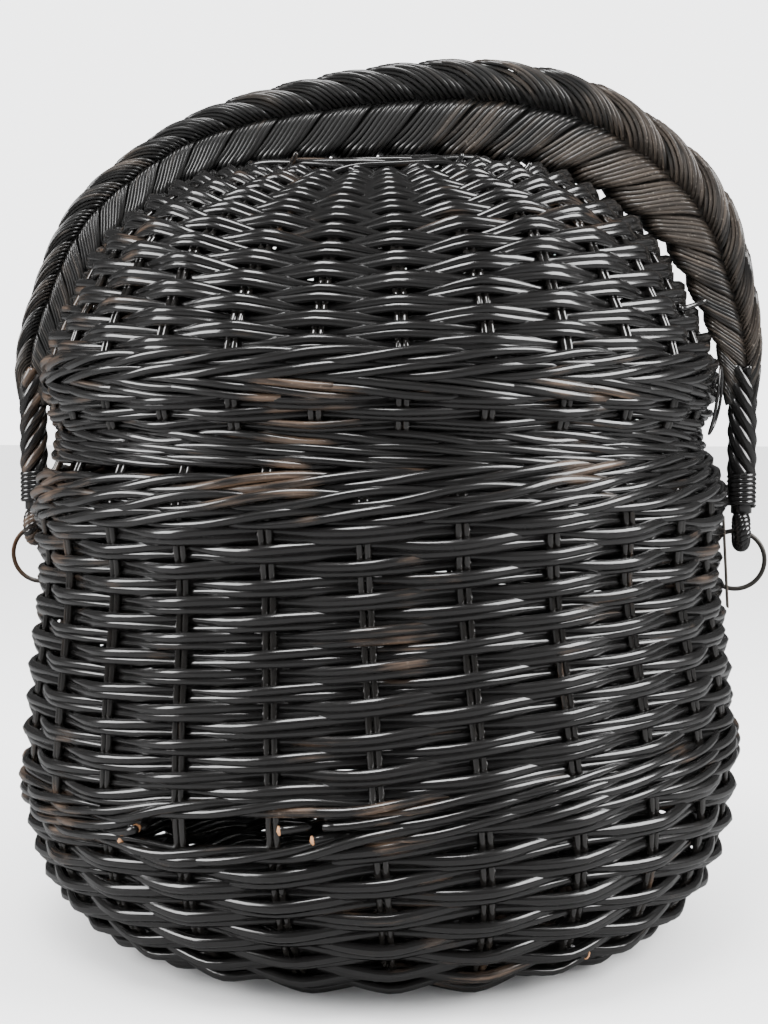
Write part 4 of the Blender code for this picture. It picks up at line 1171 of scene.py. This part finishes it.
@dataclass
class Handle:
    """The plaited bow with its twisted legs and the wrapped eyes that hang on the rings."""

    finishes: Finishes
    clearance: float = 3.2 * MM
    thickness: float = 36.2 * MM
    lean: float = 6.5 * MM
    depth_share: float = 0.76
    centre_height: float = 237.8 * MM
    lobe_pitch: float = 21.5 * MM
    bundles: int = 5
    strands: int = 8
    strand: float = 0.95 * MM
    bundle_share: float = 0.90
    core_share: float = 0.445
    core_flat: float = 0.36
    crossing: float = 2.6
    seam_pull: float = 1.25
    seam_press: float = 0.45
    seam_rise: float = 0.42
    crest: tuple[float, float] = (0.92, 0.10)
    bulge: tuple[float, float, float] = (0.90, 0.15, 0.10)
    strand_waver: float = 0.010
    strand_least: float = 0.62
    inner_swell: float = 1.9 * MM
    tail: float = 15.0 * MM
    tail_thickness: float = 12.0 * MM
    shares: tuple[tuple[float, float], ...] = (
        (0.0, 1.0), (0.17, 0.985), (0.33, 0.94), (0.5, 0.83), (0.67, 0.79), (0.83, 0.63), (1.0, 0.43))
    leg_top: float = 238.5 * MM
    leg_bottom: float = 193.0 * MM
    leg_rods: int = 5
    leg_turns: float = 1.15
    leg_spread: float = 3.8 * MM
    leg_rod: float = 2.45 * MM
    eye_radius: float = 5.4 * MM
    eye_rods: int = 4
    eye_twists: int = 5
    eye_spread: float = 1.95 * MM
    eye_rod: float = 1.75 * MM
    wrap_turns: int = 7
    wrap_radius: float = 5.1 * MM
    wrap_wire: float = 1.2 * MM
    neck_radius: float = 4.4 * MM
    wrap: tuple[float, float] = (178.6 * MM, 194.2 * MM)

    def bow(self, turn: Array) -> tuple[Array, Array]:
        """Middle line of the plait and its thickness, at angles from the top of the bow.

        The line stands off the lid's outline by the clearance and half the thickness.

        Args:
            turn: Angles from the top, towards +X.

        Returns:
            Points (x, z), and the plait's thickness in the plane of the bow.
        """
        outline = lid_outline()[::-1]
        angle = np.arctan2(outline[:, 0], outline[:, 1] - self.centre_height)
        reach = np.interp(np.abs(turn), angle, np.hypot(outline[:, 0], outline[:, 1] - self.centre_height))
        share, size = zip(*self.shares)
        thickness = self.thickness * np.interp(np.abs(turn) / (math.pi / 2), share, size)
        thickness = thickness + self.lean * np.sin(2 * turn)
        middle = reach + self.clearance + thickness / 2
        return np.stack([middle * np.sin(turn), self.centre_height + middle * np.cos(turn)], 1), thickness

    def build(self) -> None:
        """Build and dress every piece of the handle."""
        rng = np.random.default_rng(37)
        self.build_plait(rng)
        for side, name in ((-1, "left"), (1, "right")):
            self.build_leg(side, name, rng)

    def middle_line(self, steps: int) -> tuple[Array, Array, Array]:
        """Even points along the plait's middle, with its thickness and the lobes passed at each.

        Args:
            steps: How many points to return.

        Returns:
            Points (x, z), thicknesses, and lobes passed since the left end.
        """
        turn = np.linspace(-math.pi / 2, math.pi / 2, 900)
        line, thickness = self.bow(turn)
        width = 41
        smooth = np.ones(width) / width
        padded = [np.pad(line[:, c], width // 2, mode="reflect", reflect_type="odd") for c in range(2)]
        line = np.stack([np.convolve(column, smooth, "valid") for column in padded], 1)
        run = np.concatenate([[0.0], np.cumsum(np.linalg.norm(np.diff(line, axis=0), axis=1))])
        pitch = self.lobe_pitch * (thickness / self.thickness) ** 0.55
        lobes = np.concatenate([[0.0], np.cumsum(np.diff(run) / (0.5 * (pitch[1:] + pitch[:-1])))])
        tail = np.array([self.tail])
        run = np.concatenate([-tail, run, run[-1] + tail])
        line = np.concatenate([line[:1] - [[0.0, self.tail]], line, line[-1:] - [[0.0, self.tail]]])
        thickness = np.concatenate([[self.tail_thickness], thickness, [self.tail_thickness]])
        lobes = np.concatenate([[lobes[0] - 1.0], lobes, [lobes[-1] + 1.0]])
        at = np.linspace(run[0], run[-1], steps)
        centre = np.stack([np.interp(at, run, line[:, c]) for c in range(2)], axis=1)
        return centre, np.interp(at, run, thickness), np.interp(at, run, lobes)

    def build_plait(self, rng: np.random.Generator) -> None:
        """Plait bundles of fine strands over the bow, herringbone-wise.

        With p the phase of a strand, it lies across the plait by half the thickness times sin p. It
        runs in front from an edge to the seam and behind from there on: in front of the middle line
        by half the depth times g = tanh(-2.6 sin 2p - 1.25 q + 0.45 |q|) with q = cos(p)^5, so that
        the upper bundles lie over the ends of the lower ones.
        """
        steps = 320
        centre, thick, lobes = self.middle_line(steps)
        phase = TAU / self.bundles * lobes
        ahead = unit(np.gradient(centre, axis=0))
        outward = np.stack([-ahead[:, 1], np.zeros(steps), ahead[:, 0]], axis=1)
        centre3 = np.stack([centre[:, 0], np.zeros(steps), centre[:, 1]], axis=1)
        mesh = StrandMesh("plait_bow")
        paths, normals, radii, tones = [], [], [], []
        for bundle in range(self.bundles):
            shade = rng.uniform(0.2, 0.8)
            for k in range(self.strands):
                spread = (k + 0.5) / self.strands - 0.5
                own = phase + TAU / self.bundles * (bundle + self.bundle_share * spread)
                low, swell, slope = self.bulge
                bulge = low + swell * (1 - (2 * spread) ** 2) - slope * spread
                bulge = bulge + self.strand_waver * rng.standard_normal()
                leaning = np.cos(own) ** 5
                ahead_share = np.tanh(-self.crossing * np.sin(2 * own) - self.seam_pull * leaning
                                      + self.seam_press * np.abs(leaning))
                half = (thick / 2 - self.strand) * bulge
                deep = (thick * self.depth_share / 2 - self.strand) * bulge
                wide = np.sin(own) * (1.0 - 0.08 * ahead_share ** 2) + self.seam_rise * np.cos(own) ** 2
                across = half * wide + self.inner_swell * np.minimum(wide, 0.0)
                front = deep * ahead_share * (self.crest[0] - self.crest[1] * np.cos(own))
                path = centre3 + outward * across[:, None]
                path[:, 1] -= front
                paths.append(path)
                away = outward * (across / np.maximum(half, 1e-6) ** 2)[:, None]
                away[:, 1] -= front / np.maximum(deep, 1e-6) ** 2
                normals.append(away + 1e-9)
                radii.append(self.strand * np.clip(thick / self.thickness + 0.15, self.strand_least, 1.0))
                tones.append(float(np.clip(shade + rng.uniform(-0.25, 0.25), 0.0, 1.0)))
        mesh.add(np.array(paths), unit(np.array(normals)), np.array(radii), np.array(tones), 5, flat=1.2)
        core = centre3[None, ::4]
        up = np.broadcast_to(outward[None, ::4], core.shape)
        mesh.add(core, up, self.core_share * thick[None, ::4], 0.2, 14, flat=self.core_flat)
        dress(mesh.build(), self.finishes.plait, "handle", "plait", "handle_braid")

    def build_leg(self, side: int, name: str, rng: np.random.Generator) -> None:
        """Twist a leg, loop its eye through the ring and wrap the eye's neck.

        Args:
            side: -1 for the left leg, 1 for the right.
            name: Which leg it is.
            rng: Source of the unevenness.
        """
        x = side * LEG_REACH
        leg = StrandMesh(f"leg_{name}")
        steps = 60
        z = np.linspace(self.leg_top, self.leg_bottom, steps)
        down = (self.leg_top - z) / (self.leg_top - self.leg_bottom)
        for k in range(self.leg_rods):
            turn = TAU * (k / self.leg_rods + side * self.leg_turns * down)
            ring = np.stack([np.cos(turn), np.sin(turn), np.zeros(steps)], axis=1)
            path = np.stack([np.full(steps, x), np.zeros(steps), z], axis=1) + ring * self.leg_spread
            leg.add(path[None], ring[None], self.leg_rod, rng.uniform(0, 1), 8)
        dress(leg.build(), self.finishes.lacquer, "handle", "body_weave", f"leg_twist_{name}")
        eye = StrandMesh(f"eye_{name}")
        angle = np.linspace(0.0, TAU, 72, endpoint=False)
        hoop = np.stack([np.zeros(72), np.sin(angle), np.cos(angle)], axis=1)
        middle = np.array([x, 0.0, PIVOT_HEIGHT]) + self.eye_radius * hoop
        for k in range(self.eye_rods):
            twist = self.eye_twists * angle + TAU * k / self.eye_rods
            aside = np.cos(twist)[:, None] * hoop + np.sin(twist)[:, None] * np.array([1.0, 0.0, 0.0])
            path = middle + self.eye_spread * aside
            eye.add(path[None], aside[None], self.eye_rod, rng.uniform(0, 1), 7, closed=True)
        nodes = ("handle_core",) if side < 0 else ()
        dress(eye.build(), self.finishes.worn, "handle", "stakes", *nodes)
        wrap = StrandMesh(f"wrap_{name}")
        steps = self.wrap_turns * 18
        turn = np.linspace(0.0, self.wrap_turns * TAU, steps)
        ring = np.stack([np.cos(turn), np.sin(turn), np.zeros(steps)], axis=1)
        path = ring * self.wrap_radius + np.array([x, 0.0, 0.0])
        path[:, 2] = np.linspace(self.wrap[0] + self.wrap_wire, self.wrap[1] - self.wrap_wire, steps)
        wrap.add(path[None], ring[None], self.wrap_wire, 0.4, 6)
        core = np.array([[[x, 0.0, h] for h in np.linspace(self.wrap[0] - 2 * MM, self.wrap[1], 6)]])
        wrap.add(core, np.broadcast_to([1.0, 0.0, 0.0], core.shape), self.neck_radius, 0.3, 8)
        dress(wrap.build(), self.finishes.worn, "handle", "worn_weave", f"eye_wrap_{name}")


@dataclass
class Rings:
    """The two iron rings and the straps beside them."""

    finishes: Finishes
    nodes: dict[str, bpy.types.Object]
    reach: float = 152.55 * MM
    height: float = 156.6 * MM
    radius: float = 12.4 * MM
    wire: float = 1.0 * MM

    def build(self) -> None:
        """Build the rings and dress the straps."""
        for side, name in ((-1, "left"), (1, "right")):
            mesh = StrandMesh(f"iron_ring_{name}")
            angle = np.linspace(0.0, TAU, 72, endpoint=False)
            spoke = np.stack([np.cos(angle), np.zeros(72), np.sin(angle)], axis=1)
            middle = np.array([side * self.reach, 0.0, self.height])
            mesh.add((middle + self.radius * spoke)[None], spoke[None], self.wire, 0.5, 12, closed=True)
            dress(mesh.build(), self.finishes.iron, f"ring_{name}", "iron", f"ring_{name}")
            strap = self.nodes[f"strap_{name}"]
            strap.data.materials.clear()
            strap.data.materials.append(self.finishes.strap)


@dataclass
class Studio:
    """Camera, lights, world and the pale floor."""

    distance: float = 0.710
    eye_height: float = 0.217
    azimuth: float = math.radians(6.3)
    pitch: float = math.radians(3.3)
    focal_pixels: float = 1630.0
    frame_width: float = 768.0
    principal_x: float = 379.5
    room_fill: float = 3.6
    room_seen: float = 0.45
    room_mirrored: float = 0.10

    def build(self) -> None:
        """Set the camera, the lights and the floor."""
        self.add_camera()
        self.add_floor()
        self.add_lights()

    def add_camera(self) -> None:
        """Stand the camera where the photograph was taken from."""
        data = bpy.data.cameras.new("camera")
        data.sensor_fit = "HORIZONTAL"
        data.sensor_width = 36.0
        data.lens = self.focal_pixels / self.frame_width * data.sensor_width
        data.shift_x = 0.5 - self.principal_x / self.frame_width
        data.clip_start = 0.01
        camera = bpy.data.objects.new("camera", data)
        camera.location = (self.distance * math.sin(self.azimuth), -self.distance * math.cos(self.azimuth),
                           self.eye_height)
        level = math.cos(self.pitch)
        look = Vector((-math.sin(self.azimuth) * level, math.cos(self.azimuth) * level,
                       -math.sin(self.pitch)))
        camera.rotation_euler = look.to_track_quat("-Z", "Y").to_euler()
        bpy.context.scene.collection.objects.link(camera)
        bpy.context.scene.camera = camera

    def add_floor(self) -> None:
        """Lay a large pale floor, painted dark grey where the basket mirrors it: painted shade on the
        undersides of the rods.
        """
        mesh = bpy.data.meshes.new("floor")
        size = 12.0
        mesh.from_pydata([(-size, -size, 0), (size, -size, 0), (size, size, 0), (-size, size, 0)], [],
                         [(0, 1, 2, 3)])
        floor = bpy.data.objects.new("floor", mesh)
        bpy.context.scene.collection.objects.link(floor)
        material = bpy.data.materials.new("pale_floor")
        material.use_nodes = True
        shader = material.node_tree.nodes["Principled BSDF"]
        graph = Graph(material.node_tree)
        # Painted shade: rays that glance off the basket see the floor dark grey, not pale, so the rods'
        # undersides read dark.
        glossy_painted_shade = graph.node("ShaderNodeLightPath").outputs["Is Glossy Ray"]
        colour = graph.mix(glossy_painted_shade, (0.77, 0.77, 0.77, 1.0), (0.10, 0.10, 0.10, 1.0))
        material.node_tree.links.new(colour, shader.inputs["Base Color"])
        shader.inputs["Roughness"].default_value = 0.75
        shader.inputs["Specular IOR Level"].default_value = 0.2
        mesh.materials.append(material)

    def add_lights(self) -> None:
        """Hang soft boxes above, in front and at both sides, in an even pale room."""
        world = bpy.data.worlds.new("room")
        world.use_nodes = True
        graph = Graph(world.node_tree)
        rays = graph.node("ShaderNodeLightPath").outputs
        seen = graph.math("MULTIPLY", rays["Is Camera Ray"], self.room_seen)
        strength = graph.math("ADD", self.room_fill, seen)
        unseen = graph.math("MULTIPLY", rays["Is Glossy Ray"], self.room_fill - self.room_mirrored)
        strength = graph.math("SUBTRACT", strength, unseen)
        background = world.node_tree.nodes["Background"]
        background.inputs["Color"].default_value = (0.985, 0.99, 1.0, 1.0)
        world.node_tree.links.new(strength, background.inputs["Strength"])
        bpy.context.scene.world = world
        boxes = (
            ("top_box", (-0.15, -0.50, 1.30), (0.0, 0.0, 0.15), 0.50, 21.0),
            ("left_box", (-1.05, -0.40, 0.65), (0.0, 0.0, 0.2), 0.60, 20.0),
            ("right_box", (1.05, -0.25, 0.80), (0.0, 0.0, 0.2), 0.75, 36.0),
        )
        for name, place, aim, size, power in boxes:
            data = bpy.data.lights.new(name, "AREA")
            data.size = size
            data.energy = power
            light = bpy.data.objects.new(name, data)
            light.location = place
            light.rotation_euler = (Vector(aim) - Vector(place)).to_track_quat("-Z", "Y").to_euler()
            bpy.context.scene.collection.objects.link(light)


def main() -> None:
    """Build every sub-assembly in order, logging each piece's triangles and each part's name."""
    logging.basicConfig(level=logging.INFO, format="%(message)s")
    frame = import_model()
    Studio().build()
    finishes = Finishes.make()
    for part in (Body(finishes), Lid(finishes), Handle(finishes), Rings(finishes, frame["nodes"])):
        part.build()
        LOG.info("built %s", type(part).__name__)


if __name__ == "__main__":
    main()
